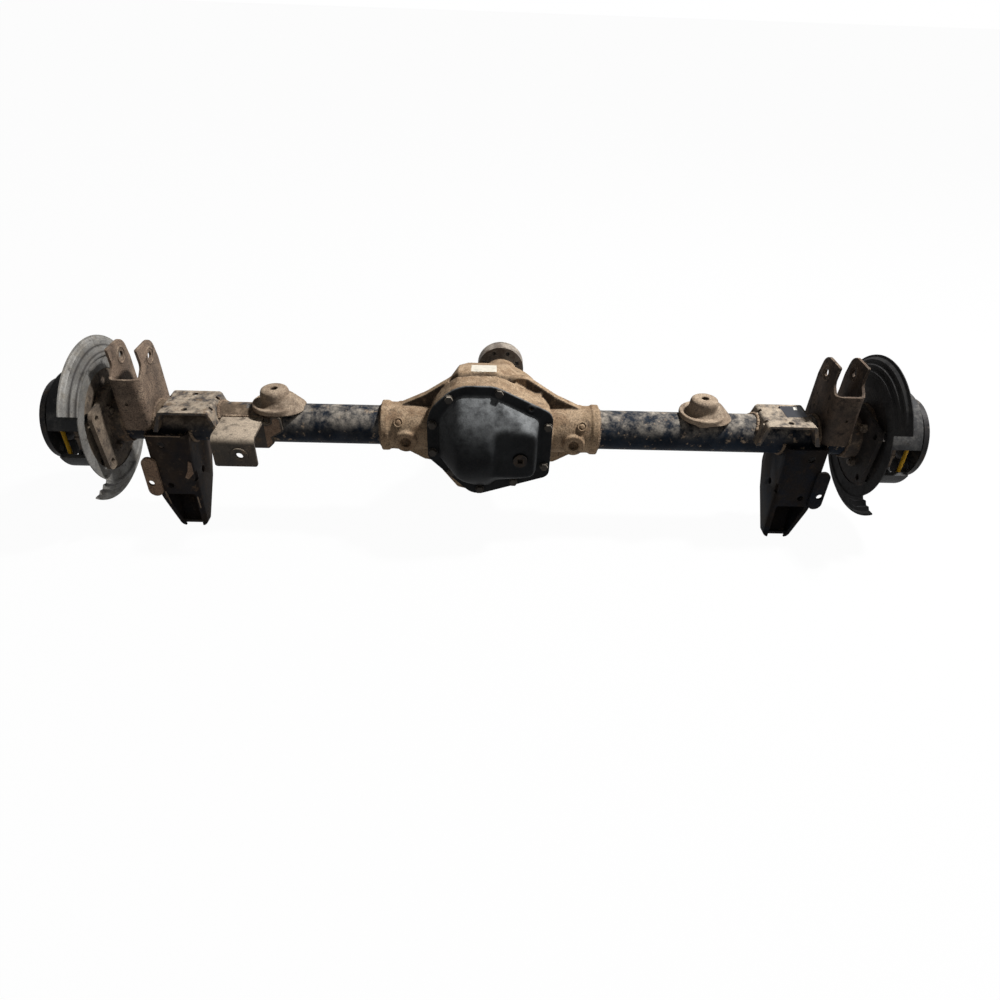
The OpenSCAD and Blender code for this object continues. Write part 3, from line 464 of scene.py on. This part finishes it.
link_all(bead_tree, [
    (entry.outputs["Geometry"], path.inputs["Mesh"]), (path.outputs["Curve"], drops.inputs["Curve"]),
    (entry.outputs["Spacing"], drops.inputs["Length"]), (entry.outputs["Seed"], uneven.inputs["Seed"]),
    (uneven.outputs[0], sized.inputs[0]), (entry.outputs["Width"], sized.inputs["Scale"]),
    (drops.outputs["Curve"], laid.inputs["Points"]), (drop.outputs["Mesh"], laid.inputs["Instance"]),
    (sized.outputs[0], laid.inputs["Scale"]), (laid.outputs[0], joined.inputs[0]),
    (joined.outputs[0], smooth.inputs[0]), (smooth.outputs[0], coated.inputs["Geometry"]),
    (entry.outputs["Finish"], coated.inputs["Material"]), (coated.outputs[0], leave.inputs[0])])


def arc_round_tube(x, radius, start, sweep):
    """A path round the axle line at x, in degrees from straight up towards the pinion."""
    steps = max(6, int(sweep / 6))
    turns = [math.radians(start + sweep * i / steps) for i in range(steps + 1)]
    return [(x, radius * math.sin(a), radius * math.cos(a)) for a in turns]


def perch_seam(side, edge):
    """The line where a flared perch flange meets the top of the tube."""
    radius, middle, half_width = 39.0, 571.5, 47.0
    flare, top, height = 16.0, 48.4, 42.4
    seam = []
    for i in range(13):
        a = math.radians(-50 + 100 * i / 12)
        z = radius * math.cos(a)
        out = half_width + flare * (top - z) / height
        seam.append((side * (middle + edge * out), radius * math.sin(a), z))
    return seam


def weld(name, runs, spacing, width, seed):
    """Beads along these paths, in millimetres."""
    points, edges = [], []
    for run in runs:
        first = len(points)
        points += [Vector(p) * MM for p in run]
        edges += [(first + i, first + i + 1) for i in range(len(run) - 1)]
    mesh = bpy.data.meshes.new(name)
    mesh.from_pydata(points, edges, [])
    piece = placed(name, mesh)
    run_tree(piece, bead_tree, Spacing=spacing, Width=width, Seed=seed, Finish=weld_rust)
    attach(piece, "housing")


weld_rust = weathered(
    "weld_rust", coat=(0.150, 0.105, 0.072), coat_alt=(0.090, 0.064, 0.046), stain=(0.035, 0.028, 0.024),
    stain_span=(0.52, 0.68), dust=(0.260, 0.195, 0.135), dust_span=(0.42, 0.62), dust_top=0.7, speck=0.5,
    gloss=0.65, dull=0.88, grain=0.5, grain_size=320.0)
weld("collar_welds", [arc_round_tube(x, 39.2, 0, 360) for x in (-210.5, 210.5)],
     spacing=0.0034, width=0.0034, seed=3)
weld("end_welds", [arc_round_tube(x, 39.4, 0, 360) for x in (-697.0, 697.0)],
     spacing=0.0034, width=0.0036, seed=5)
weld("upper_welds", [arc_round_tube(x, 38.8, -88, 176) for x in (-699.0, -639.0, 639.0, 699.0)]
     + [[(side * 652, -40.5, 3), (side * 686, -40.5, 3)] for side in (-1, 1)],
     spacing=0.0036, width=0.0042, seed=7)
weld("lower_welds", [arc_round_tube(x, 38.8, 94, 172) for x in (-656.0, -574.0, 574.0, 656.0)],
     spacing=0.0036, width=0.0036, seed=9)
weld("perch_welds", [perch_seam(side, edge) for side in (-1, 1) for edge in (-1, 1)],
     spacing=0.0036, width=0.0036, seed=11)
weld("track_bar_welds", [[(-506, -28.0, 27.6), (-436, -28.0, 27.6)]],
     spacing=0.0036, width=0.0034, seed=13)

# Cover: deep-drawn steel sheet in black satin paint, greyed by dust, bolted to the casting; the grey on its
# upper faces also stands in for a painted sheen of sky light on the dome's top.
# The fill plug is a turned screw plug with a square drive hole.
cover_black = weathered(
    "cover_black", coat=(0.003, 0.0035, 0.004), coat_alt=(0.006, 0.007, 0.008), stain=(0.024, 0.020, 0.017),
    stain_span=(0.62, 0.80), dust=(0.155, 0.160, 0.162), dust_span=(0.20, 0.70), dust_top=0.995, speck=0.25,
    gloss=0.5, dull=0.65, grain=0.22, grain_size=340.0, sheen=0.03)
cover = cast_skin(joined_copy("diff_cover", "cover"), voxel=0.0015, passes=6)
rim_y = -0.066
dome = cover.vertex_groups.new(name="dome")
dome.add([v.index for v in cover.data.vertices if v.co.y < rim_y], 1.0, "REPLACE")
drawn_corners = cover.modifiers.new("drawn_corners", "SMOOTH")
drawn_corners.vertex_group = "dome"
drawn_corners.factor = 0.5
drawn_corners.iterations = 170
settle(cover)
finish_piece(cover, "housing", "cover_paint", cover_black, "diff_cover")
plug_brown = weathered(
    "plug_brown", coat=(0.014, 0.012, 0.011), coat_alt=(0.024, 0.018, 0.014), stain=(0.045, 0.030, 0.020),
    stain_span=(0.5, 0.66), dust=(0.08, 0.07, 0.06), dust_span=(0.5, 0.7), dust_top=0.7, speck=0.3,
    gloss=0.5, dull=0.8, grain=0.3, grain_size=300.0)
paint_nodes(plug_brown, "fill_plug")

# Cover bolts: steel hex flange screws that hold the cover to the casting, painted over with it.
# Their tops are dusty; the other screws and nuts, at the brake plates and inside, are dull and brown.
bolt_black = weathered(
    "bolt_black", coat=(0.030, 0.026, 0.022), coat_alt=(0.018, 0.017, 0.016), stain=(0.060, 0.045, 0.034),
    stain_span=(0.54, 0.7), dust=(0.22, 0.19, 0.155), dust_span=(0.36, 0.60), dust_top=0.97, speck=0.3,
    gloss=0.45, dull=0.8, grain=0.3, grain_size=380.0, metal=0.2)
nut_brown = weathered(
    "nut_brown", coat=(0.085, 0.066, 0.050), coat_alt=(0.050, 0.041, 0.034), stain=(0.040, 0.028, 0.020),
    stain_span=(0.52, 0.7), dust=(0.28, 0.215, 0.155), dust_span=(0.48, 0.66), dust_top=0.7, speck=0.35,
    gloss=0.5, dull=0.8, grain=0.3, grain_size=380.0, metal=0.3)
paint_nodes(bolt_black, "cover_bolts")
paint_nodes(nut_brown, "flange_nuts_left", "flange_nuts_right", "shoe_adjuster_left", "shoe_adjuster_right",
            "bearing_cap_bolts", "ring_gear_bolts", "bearing_retainer_left", "bearing_retainer_right")


# Spring perches: folded steel channels welded on top of the tubes, painted with them and worn to sandy dust.
# Their cut edges are bare and lighter, partly as painted highlight; the right one still has a black sticker,
# which is left blank.
def folded(node, name, edge, material, edge_finish):
    """The CAD plate with its cut edges rolled over and given the edge finish: bare steel, lighter in part as
    painted highlight.
    """
    flat, corner, crease = (math.radians(angle) for angle in (1.5, 40, 50))
    piece = joined_copy(node, name)
    work = bmesh.new()
    work.from_mesh(piece.data)
    bmesh.ops.dissolve_limit(work, angle_limit=flat, verts=work.verts, edges=work.edges)
    work.to_mesh(piece.data)
    work.free()
    piece.data.materials.append(material)
    piece.data.materials.append(edge_finish)
    roll = piece.modifiers.new("edges", "BEVEL")
    roll.width = edge
    roll.segments = 2
    roll.limit_method = "ANGLE"
    roll.angle_limit = corner
    roll.use_clamp_overlap = True
    roll.material = 1
    settle(piece)
    shade_smooth(piece.data)
    piece.data.set_sharp_from_angle(angle=crease)
    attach(piece, "housing")
    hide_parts(node)


# Bare steel on cut edges, lighter than the paint partly as painted highlight on the rims.
worn_edge_and_highlight = weathered(
    "worn_edge_and_highlight", coat=(0.190, 0.135, 0.092), coat_alt=(0.120, 0.085, 0.060), stain=(0.050, 0.036, 0.027),
    stain_span=(0.50, 0.66), dust=(0.330, 0.255, 0.185), dust_span=(0.40, 0.60), dust_top=0.6, speck=0.4,
    gloss=0.7, dull=0.85, grain=0.4, grain_size=280.0)
perch_paint = weathered(
    "perch_paint", coat=(0.022, 0.022, 0.026), coat_alt=(0.040, 0.036, 0.034), stain=(0.150, 0.108, 0.074),
    stain_span=(0.48, 0.60), dust=(0.300, 0.248, 0.190), dust_span=(0.36, 0.60), dust_top=0.92, speck=0.35,
    gloss=0.5, dull=0.85, grain=0.4, grain_size=280.0)
for side in ("left", "right"):
    folded("spring_perch_" + side, "perch_" + side, 0.0012, perch_paint, worn_edge_and_highlight)
sticker = sheet("blank_sticker", [(571, -20, 48.4), (612, -18, 48.4), (612, 25, 48.4), (569, 25, 48.4)],
                steps=(2, 2), lift=0.0003)
finish_piece(sticker, "housing", "tube_paint", plain("sticker_black", (0.010, 0.011, 0.015), 0.5))
patch = sheet("sticker_patch", [(594, 9, 48.7), (601, 9, 48.7), (603, 21, 48.7), (596, 21, 48.7)],
              steps=(1, 1), lift=0.0003)
finish_piece(patch, "housing", "tube_paint", plain("patch_white", (0.55, 0.53, 0.48), 0.6))

# Arm brackets: thick steel plate folded to a U and welded on, two ears above the tube and two cheeks below it.
# Thin dark paint is burnt brown with rust; the oblong link tabs are bare. On the right-hand side, the brackets,
# link tab and toe are given darker finishes as painted shade.
# The lower feet are closed by a bent toe, and the left one is torn; light strips along its slanted edges and
# the top front edge of its web are painted highlights.
ear_paint = weathered(
    "ear_paint", coat=(0.168, 0.119, 0.086), coat_alt=(0.104, 0.076, 0.057), stain=(0.034, 0.027, 0.023),
    stain_span=(0.52, 0.70), dust=(0.250, 0.190, 0.140), dust_span=(0.42, 0.66), dust_top=0.6, speck=0.75,
    gloss=0.65, dull=0.88, grain=0.5, grain_size=260.0)
# Painted shade: a darker copy of the ear finish for the right-hand ears.
ear_shaded = weathered(
    "ear_shaded", coat=(0.088, 0.063, 0.047), coat_alt=(0.040, 0.032, 0.027), stain=(0.012, 0.011, 0.011),
    stain_span=(0.50, 0.68), dust=(0.165, 0.125, 0.092), dust_span=(0.48, 0.70), dust_top=0.8, speck=0.6,
    gloss=0.65, dull=0.88, grain=0.5, grain_size=260.0, sheen=0.02)
arm_paint = weathered(
    "arm_paint", coat=(0.028, 0.020, 0.015), coat_alt=(0.014, 0.013, 0.014), stain=(0.075, 0.050, 0.034),
    stain_span=(0.56, 0.70), dust=(0.150, 0.112, 0.080), dust_span=(0.56, 0.74), dust_top=0.8, speck=0.45,
    gloss=0.6, dull=0.8, grain=0.4, grain_size=280.0, sheen=0.02)
# Painted shade: a darker copy of the arm finish for the right-hand cheeks, link tab and toe.
arm_shaded = weathered(
    "arm_shaded", coat=(0.010, 0.008, 0.007), coat_alt=(0.006, 0.008, 0.012), stain=(0.030, 0.020, 0.013),
    stain_span=(0.56, 0.70), dust=(0.080, 0.062, 0.046), dust_span=(0.58, 0.74), dust_top=0.85, speck=0.45,
    gloss=0.6, dull=0.8, grain=0.4, grain_size=280.0, sheen=0.02)
tab_rust = weathered(
    "tab_rust", coat=(0.210, 0.135, 0.090), coat_alt=(0.150, 0.098, 0.066), stain=(0.070, 0.047, 0.036),
    stain_span=(0.55, 0.7), dust=(0.270, 0.195, 0.140), dust_span=(0.45, 0.65), dust_top=0.6, speck=0.6,
    gloss=0.7, dull=0.88, grain=0.5, grain_size=260.0)
for side, ear, arm, tab in (("left", ear_paint, arm_paint, tab_rust), ("right", ear_shaded, arm_shaded, arm_shaded)):
    folded("upper_arm_bracket_" + side, "upper_bracket_" + side, 0.0010, ear, worn_edge_and_highlight)
    folded("lower_arm_bracket_" + side, "lower_bracket_" + side, 0.0010, arm, worn_edge_and_highlight)
    folded("link_tab_" + side, "tab_" + side, 0.0012, tab, tab)


def toe_plate(name, side):
    """The bent toe that closes the foot of a lower bracket between its two cheeks."""
    mesh = bpy.data.meshes.new(name)
    profile = [(-59.5, -199.0), (-57.0, -206.5), (-51.0, -210.8), (-42.5, -211.6)]
    points = [(side * x * MM, y * MM, z * MM) for x in (579.0, 622.0) for y, z in profile]
    mesh.from_pydata(points, [], [(i, i + 1, i + 5, i + 4) for i in range(3)])
    piece = placed(name, mesh)
    wall = piece.modifiers.new("wall", "SOLIDIFY")
    wall.thickness = 0.003
    wall.offset = -1.0 if side > 0 else 1.0
    return settle(piece)


finish_piece(toe_plate("toe_left", -1), "housing", "dark_bracket", arm_paint)
finish_piece(toe_plate("toe_right", 1), "housing", "dark_bracket", arm_shaded)


def torn_plate(name, outlines, face, wall, slot, material):
    """Flat scraps of plate that stand on a bracket's front face, each given by its outline."""
    work = bmesh.new()
    for outline in outlines:
        front = [work.verts.new((x * MM, (face - wall) * MM, z * MM)) for x, z in outline]
        back = [work.verts.new((x * MM, face * MM, z * MM)) for x, z in outline]
        work.faces.new(front)
        work.faces.new(back[::-1])
        for i in range(len(outline)):
            work.faces.new((front[i - 1], front[i], back[i], back[i - 1]))
    bmesh.ops.recalc_face_normals(work, faces=work.faces)
    mesh = bpy.data.meshes.new(name)
    work.to_mesh(mesh)
    work.free()
    finish_piece(placed(name, mesh), "housing", slot, material)


foot_face = -59.9
fold_outline = [(-581, -56), (-576.5, -60), (-576.5, -84), (-588, -97), (-594, -93), (-586, -77)]
torn_plate("torn_fold", [fold_outline], foot_face, 2.6, "dark_bracket", tab_rust)
# Painted highlights: light strips where light catches the left foot's slanted edges and the top front edge of
# its web.
edge_highlights = [[(-643, -128), (-640.2, -128), (-635, -158), (-637.6, -158)],
           [(-582, -140), (-579.6, -140), (-578.6, -168), (-581, -168)],
           [(-650, -0.6), (-584, -0.6), (-585, -2.9), (-606, -2.4), (-631, -3.1), (-649, -2.5)]]
torn_plate("painted_edge_highlights", edge_highlights, foot_face, 0.8, "dark_bracket", worn_edge_and_highlight)

# Track bar bracket: one plate folded over a large radius, welded to the tube beside the left perch.
# The plate behind it is torn at its free end, where it has lost its paint to rust scale; that patch is laid on
# in a bright rust colour, which is partly painted light on a shaded face.
box_paint = weathered(
    "box_paint", coat=(0.045, 0.036, 0.029), coat_alt=(0.026, 0.024, 0.023), stain=(0.120, 0.084, 0.057),
    stain_span=(0.54, 0.68), dust=(0.330, 0.270, 0.205), dust_span=(0.30, 0.54), dust_top=0.96, speck=0.45,
    gloss=0.55, dull=0.85, grain=0.4, grain_size=280.0)
folded("track_bar_bracket", "track_bar_box", 0.0010, box_paint, worn_edge_and_highlight)
# Painted light: the rust patch is made bright enough to stand for sunlight on a face that lies in shade.
rust_and_light_outline = [(-429, -30), (-427.5, -30.5), (-417, -20.5), (-420, -8), (-398, 6), (-399, 29), (-403, 32),
                 (-411, 31), (-413, 21), (-420, 17), (-429, 16)]
torn_plate("rust_and_painted_light", [rust_and_light_outline], -43.0, 0.6, "rusty_steel", tab_rust)

# Bump stop pads: forged steel knobs on a lipped brim, drilled through and welded over the tubes.
# They are bare and sandy, with a skin as rough as a casting's.
pad_sand = weathered(
    "pad_sand", coat=(0.200, 0.148, 0.105), coat_alt=(0.140, 0.105, 0.077), stain=(0.036, 0.033, 0.033),
    stain_span=(0.58, 0.70), dust=(0.285, 0.222, 0.162), dust_span=(0.42, 0.6), dust_top=0.7, speck=0.5,
    gloss=0.75, dull=0.88, grain=0.4, grain_size=260.0)
for side in ("left", "right"):
    pad = cast_skin(joined_copy("bump_pad_" + side, "pad_" + side), voxel=0.0015, passes=8, lump=0.0006)
    finish_piece(pad, "housing", "pad_steel", pad_sand, "bump_pad_" + side)


# Brake ends: galvanised dust shield and stamped backing plate on the tube's forged end, dull with road dirt.
# The parking brake shoes have black moulded linings and the shaft carries a dark wheel flange.
# Dark rings of painted shade lie in the grooves pressed into the left shield, and the right shield and backing
# plate are darker than the left ones as painted shade.
def shade_rings(tree, where, upward, film, covered):
    """Painted shade as dark rings round the axle line, given as radius and strength from the inside out."""
    rings = ((0.1180, 0.3), (0.1225, 0.55), (0.1265, 0.1), (0.1290, 0.92), (0.1320, 0.15), (0.1385, 0.1),
             (0.1410, 0.95), (0.1440, 0.1), (0.1490, 0.0), (0.1525, 0.35), (0.1560, 0.0))
    inner, outer = rings[0][0], rings[-1][0]
    spread = node_at(tree, "ShaderNodeVectorMath", (-1400, 1700), operation="MULTIPLY")
    spread.inputs[1].default_value = (0.0, 1.0, 1.0)
    tree.links.new(where, spread.inputs[0])
    radius = node_at(tree, "ShaderNodeVectorMath", (-1200, 1700), operation="LENGTH")
    tree.links.new(spread.outputs[0], radius.inputs[0])
    depth = node_at(tree, "ShaderNodeMapRange", (-1000, 1700))
    depth.inputs["From Min"].default_value = inner
    depth.inputs["From Max"].default_value = outer
    tree.links.new(radius.outputs["Value"], depth.inputs["Value"])
    ramp = node_at(tree, "ShaderNodeValToRGB", (-800, 1700))
    stops = ramp.color_ramp.elements
    while len(stops) < len(rings):
        stops.new(0.5)
    for stop, (reach, strength) in zip(stops, rings):
        stop.position = (reach - inner) / (outer - inner)
        stop.color = (strength, strength, strength, 1.0)
    tree.links.new(depth.outputs["Result"], ramp.inputs["Fac"])
    # Painted shade: near black in the rings.
    ring_shade_black = (0.012, 0.011, 0.011)
    return blend_colour(tree, ramp.outputs["Color"], covered, ring_shade_black, (-100, 900))


shield_zinc = weathered(
    "shield_zinc", coat=(0.225, 0.218, 0.204), coat_alt=(0.150, 0.144, 0.134), stain=(0.030, 0.027, 0.024),
    stain_span=(0.52, 0.72), dust=(0.215, 0.195, 0.165), dust_span=(0.45, 0.7), dust_top=0.4, speck=0.35,
    gloss=0.55, dull=0.78, grain=0.25, grain_size=300.0, metal=0.2, layers=[shade_rings])
# Painted shade: the right backing plate and caliper bracket are made darker than the left ones.
plate_shaded = weathered(
    "plate_shaded", coat=(0.020, 0.018, 0.017), coat_alt=(0.013, 0.012, 0.012), stain=(0.045, 0.032, 0.024),
    stain_span=(0.54, 0.70), dust=(0.080, 0.066, 0.052), dust_span=(0.50, 0.70), dust_top=0.7, speck=0.5,
    gloss=0.6, dull=0.85, grain=0.4, grain_size=280.0)
lining_black = weathered(
    "lining_black", coat=(0.038, 0.039, 0.040), coat_alt=(0.027, 0.027, 0.028), stain=(0.036, 0.032, 0.028),
    stain_span=(0.55, 0.7), dust=(0.120, 0.115, 0.108), dust_span=(0.46, 0.7), dust_top=0.8, speck=0.3,
    gloss=0.6, dull=0.8, grain=0.35, grain_size=340.0)
flange_black = weathered(
    "flange_black", coat=(0.024, 0.023, 0.023), coat_alt=(0.015, 0.015, 0.016), stain=(0.060, 0.042, 0.030),
    stain_span=(0.56, 0.7), dust=(0.110, 0.098, 0.084), dust_span=(0.50, 0.7), dust_top=0.6, speck=0.4,
    gloss=0.5, dull=0.8, grain=0.3, grain_size=320.0, metal=0.2)
# Painted shade: a darker copy of the shield finish for the right shield.
shield_shaded = weathered(
    "shield_shaded", coat=(0.034, 0.034, 0.034), coat_alt=(0.021, 0.021, 0.022), stain=(0.014, 0.014, 0.014),
    stain_span=(0.52, 0.72), dust=(0.070, 0.066, 0.061), dust_span=(0.50, 0.74), dust_top=0.7, speck=0.35,
    gloss=0.6, dull=0.8, grain=0.25, grain_size=300.0, sheen=0.02)
plate_tan = weathered(
    "plate_tan", coat=(0.120, 0.092, 0.068), coat_alt=(0.070, 0.056, 0.044), stain=(0.026, 0.022, 0.020),
    stain_span=(0.50, 0.66), dust=(0.210, 0.168, 0.124), dust_span=(0.46, 0.68), dust_top=0.4, speck=0.5,
    gloss=0.65, dull=0.85, grain=0.4, grain_size=280.0)
paint_nodes(shield_zinc, "dust_shield_left")
paint_nodes(shield_shaded, "dust_shield_right")
paint_nodes(plate_tan, "backing_plate_left", "caliper_bracket_left")
paint_nodes(plate_shaded, "backing_plate_right", "caliper_bracket_right")
paint_nodes(lining_black, "park_shoes_left", "park_shoes_right", "pinion_seal")
paint_nodes(flange_black, "axle_shaft_left", "axle_shaft_right")

# Shoe springs: close-wound coils of steel wire in yellow enamel.
# They are hooked between the parking brake shoes and draw them off the drum.
spring_yellow = weathered(
    "spring_yellow", coat=(0.42, 0.24, 0.015), coat_alt=(0.36, 0.20, 0.012), stain=(0.12, 0.08, 0.03),
    stain_span=(0.6, 0.75), dust=(0.3, 0.22, 0.12), dust_span=(0.55, 0.7), dust_top=0.6, speck=0.3,
    gloss=0.4, dull=0.7, grain=0.2, grain_size=300.0)
coil_tree, entry, leave = new_tree("close_coil", [
    ("Turns", "Float"), ("Radius", "Float"), ("Height", "Float"), ("Wire", "Float"), ("Place", "Vector"),
    ("Finish", "Material")])
line = node_at(coil_tree, "GeometryNodeCurveSpiral", (-600, 100))
line.inputs["Resolution"].default_value = 14
wire = node_at(coil_tree, "GeometryNodeCurvePrimitiveCircle", (-600, -200))
wire.inputs["Resolution"].default_value = 6
drawn = node_at(coil_tree, "GeometryNodeCurveToMesh", (-300, 0))
shifted = node_at(coil_tree, "GeometryNodeTransform", (-100, 0))
joined = node_at(coil_tree, "GeometryNodeRealizeInstances", (100, 0))
smooth = node_at(coil_tree, "GeometryNodeSetShadeSmooth", (300, 0))
coated = node_at(coil_tree, "GeometryNodeSetMaterial", (500, 0))
link_all(coil_tree, [
    (entry.outputs["Turns"], line.inputs["Rotations"]), (entry.outputs["Radius"], line.inputs["Start Radius"]),
    (entry.outputs["Radius"], line.inputs["End Radius"]), (entry.outputs["Height"], line.inputs["Height"]),
    (entry.outputs["Wire"], wire.inputs["Radius"]), (line.outputs["Curve"], drawn.inputs["Curve"]),
    (wire.outputs["Curve"], drawn.inputs["Profile Curve"]), (drawn.outputs["Mesh"], shifted.inputs["Geometry"]),
    (entry.outputs["Place"], shifted.inputs["Translation"]), (shifted.outputs[0], joined.inputs[0]),
    (joined.outputs[0], smooth.inputs[0]), (smooth.outputs[0], coated.inputs["Geometry"]),
    (entry.outputs["Finish"], coated.inputs["Material"]), (coated.outputs[0], leave.inputs[0])])
for side, x in (("left", -0.792), ("right", 0.792)):
    coil = placed("shoe_coil_" + side, bpy.data.meshes.new("shoe_coil_" + side))
    run_tree(coil, coil_tree, Turns=32.0, Radius=0.0030, Height=0.058, Wire=0.0009, Place=(x, -0.074, -0.040),
             Finish=spring_yellow)
    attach(coil, "housing")
    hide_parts("shoe_spring_" + side)

# Pinion flange: turned steel, drilled for the drive shaft's bolts and browned by weather.
# It sits on the pinion's end, where its nut holds it.
flange_rust = weathered(
    "flange_rust", coat=(0.175, 0.150, 0.128), coat_alt=(0.120, 0.098, 0.080), stain=(0.085, 0.052, 0.034),
    stain_span=(0.52, 0.68), dust=(0.295, 0.258, 0.217), dust_span=(0.42, 0.62), dust_top=0.75, speck=0.5,
    gloss=0.5, dull=0.8, grain=0.35, grain_size=300.0, metal=0.2)
paint_nodes(flange_rust, "pinion_flange", "pinion_nut")

# Final drive inside the casting, with the bearings: cut and ground from hardened steel.
# It runs in oil, so it stays clean and bright.
gear_steel = weathered(
    "gear_steel", coat=(0.20, 0.20, 0.205), coat_alt=(0.16, 0.16, 0.165), stain=(0.10, 0.095, 0.09),
    stain_span=(0.6, 0.8), dust=(0.14, 0.13, 0.12), dust_span=(0.7, 0.9), dust_top=0.3, speck=0.15,
    gloss=0.25, dull=0.4, grain=0.1, grain_size=400.0, metal=0.9, sheen=0.5)
paint_nodes(gear_steel, "pinion_gear", "ring_gear", "spider_gear_upper", "spider_gear_lower", "side_gear_left",
            "side_gear_right", "differential_case", "cross_pin", "bearing_caps", "pinion_bearing_inner",
            "pinion_bearing_outer", "carrier_bearing_left", "carrier_bearing_right", "wheel_bearing_left",
            "wheel_bearing_right")


# Stage: a pale paper floor just under the lowest bracket, which takes the shadow, and a white surround.
# A soft key lamp stands to the right, above and a little behind, and a weak fill in front.
def seen_straight(tree):
    """1 for a ray from the camera, off a shiny face or through glass, and 0 for soft light."""
    rays = node_at(tree, "ShaderNodeLightPath", (-900, -300)).outputs
    found = rays["Is Camera Ray"]
    for i, name in enumerate(("Is Glossy Ray", "Is Transmission Ray")):
        either = node_at(tree, "ShaderNodeMath", (-700 + 200 * i, -300), operation="MAXIMUM")
        tree.links.new(found, either.inputs[0])
        tree.links.new(rays[name], either.inputs[1])
        found = either.outputs[0]
    return found


floor_reach, floor_level = 30.0, -0.2145
paper_white, white_share, soft_light = 0.42, 0.97, 0.08
floor_corners = [(x * floor_reach, y * floor_reach, floor_level)
                 for x, y in ((-1, -1), (1, -1), (1, 1), (-1, 1))]
floor_mesh = bpy.data.meshes.new("floor")
floor_mesh.from_pydata(floor_corners, [], [(0, 1, 2, 3)])
floor = placed("floor", floor_mesh)
paper = bpy.data.materials.new("paper")
paper.use_nodes = True
tree = paper.node_tree
soft_paper = tree.nodes["Principled BSDF"]
soft_paper.inputs["Base Color"].default_value = (paper_white, paper_white, paper_white, 1.0)
soft_paper.inputs["Roughness"].default_value = 0.9
glow = node_at(tree, "ShaderNodeEmission", (0, -300))
share = node_at(tree, "ShaderNodeMath", (0, -100), operation="MULTIPLY")
share.inputs[1].default_value = white_share
mixer = node_at(tree, "ShaderNodeMixShader", (300, 0))
link_all(tree, [
    (seen_straight(tree), share.inputs[0]), (share.outputs[0], mixer.inputs["Fac"]),
    (soft_paper.outputs[0], mixer.inputs[1]), (glow.outputs[0], mixer.inputs[2]),
    (mixer.outputs[0], tree.nodes["Material Output"].inputs["Surface"])])
floor_mesh.materials.append(paper)

sky = bpy.data.worlds.new("studio")
sky.use_nodes = True
shop.world = sky
tree = sky.node_tree
surround = tree.nodes["Background"]
surround.inputs["Color"].default_value = (1.0, 1.0, 1.0, 1.0)
strength = node_at(tree, "ShaderNodeMapRange", (-300, 0))
strength.inputs["To Min"].default_value = soft_light
strength.inputs["To Max"].default_value = 1.0
link_all(tree, [
    (seen_straight(tree), strength.inputs["Value"]),
    (strength.outputs["Result"], surround.inputs["Strength"])])


def soft_lamp(name, spot, size, power):
    """A round lamp at this spot, turned to the middle of the axle."""
    lamp = bpy.data.lights.new(name, "AREA")
    lamp.shape = "DISK"
    lamp.size = size
    lamp.energy = power
    toward = -Vector(spot)
    turn = toward.to_track_quat("-Z", "Y").to_matrix().to_4x4()
    placed(name, lamp).matrix_world = Matrix.Translation(spot) @ turn


soft_lamp("key", (1.8, 0.45, 3.05), size=0.35, power=305.0)
soft_lamp("fill", (0.6, -2.8, 2.2), size=1.6, power=6.5)

# Camera: where the photograph was taken from, looking down on the cover side.
# Its place, its angles and its focal length as a share of the frame's width were fitted to the photograph.
pitch, yaw, roll = (math.radians(angle) for angle in (35.598, 1.5215, 2.0789))
stand = (-0.008339, -1.246937, 0.717119)
focal_share = 0.726696
ahead = Vector((math.sin(yaw) * math.cos(pitch), math.cos(yaw) * math.cos(pitch), -math.sin(pitch)))
flat = Vector((math.cos(yaw), -math.sin(yaw), 0.0))
rise = flat.cross(ahead)
across = flat * math.cos(roll) + rise * math.sin(roll)
upright = rise * math.cos(roll) - flat * math.sin(roll)
lens = bpy.data.cameras.new("camera")
lens.sensor_fit = "HORIZONTAL"
lens.sensor_width = 36.0
lens.lens = lens.sensor_width * focal_share
lens.clip_end = 100.0
eye = placed("camera", lens)
eye.matrix_world = Matrix.Translation(stand) @ Matrix((across, upright, -ahead)).transposed().to_4x4()
shop.camera = eye
shop.view_settings.view_transform = "Standard"
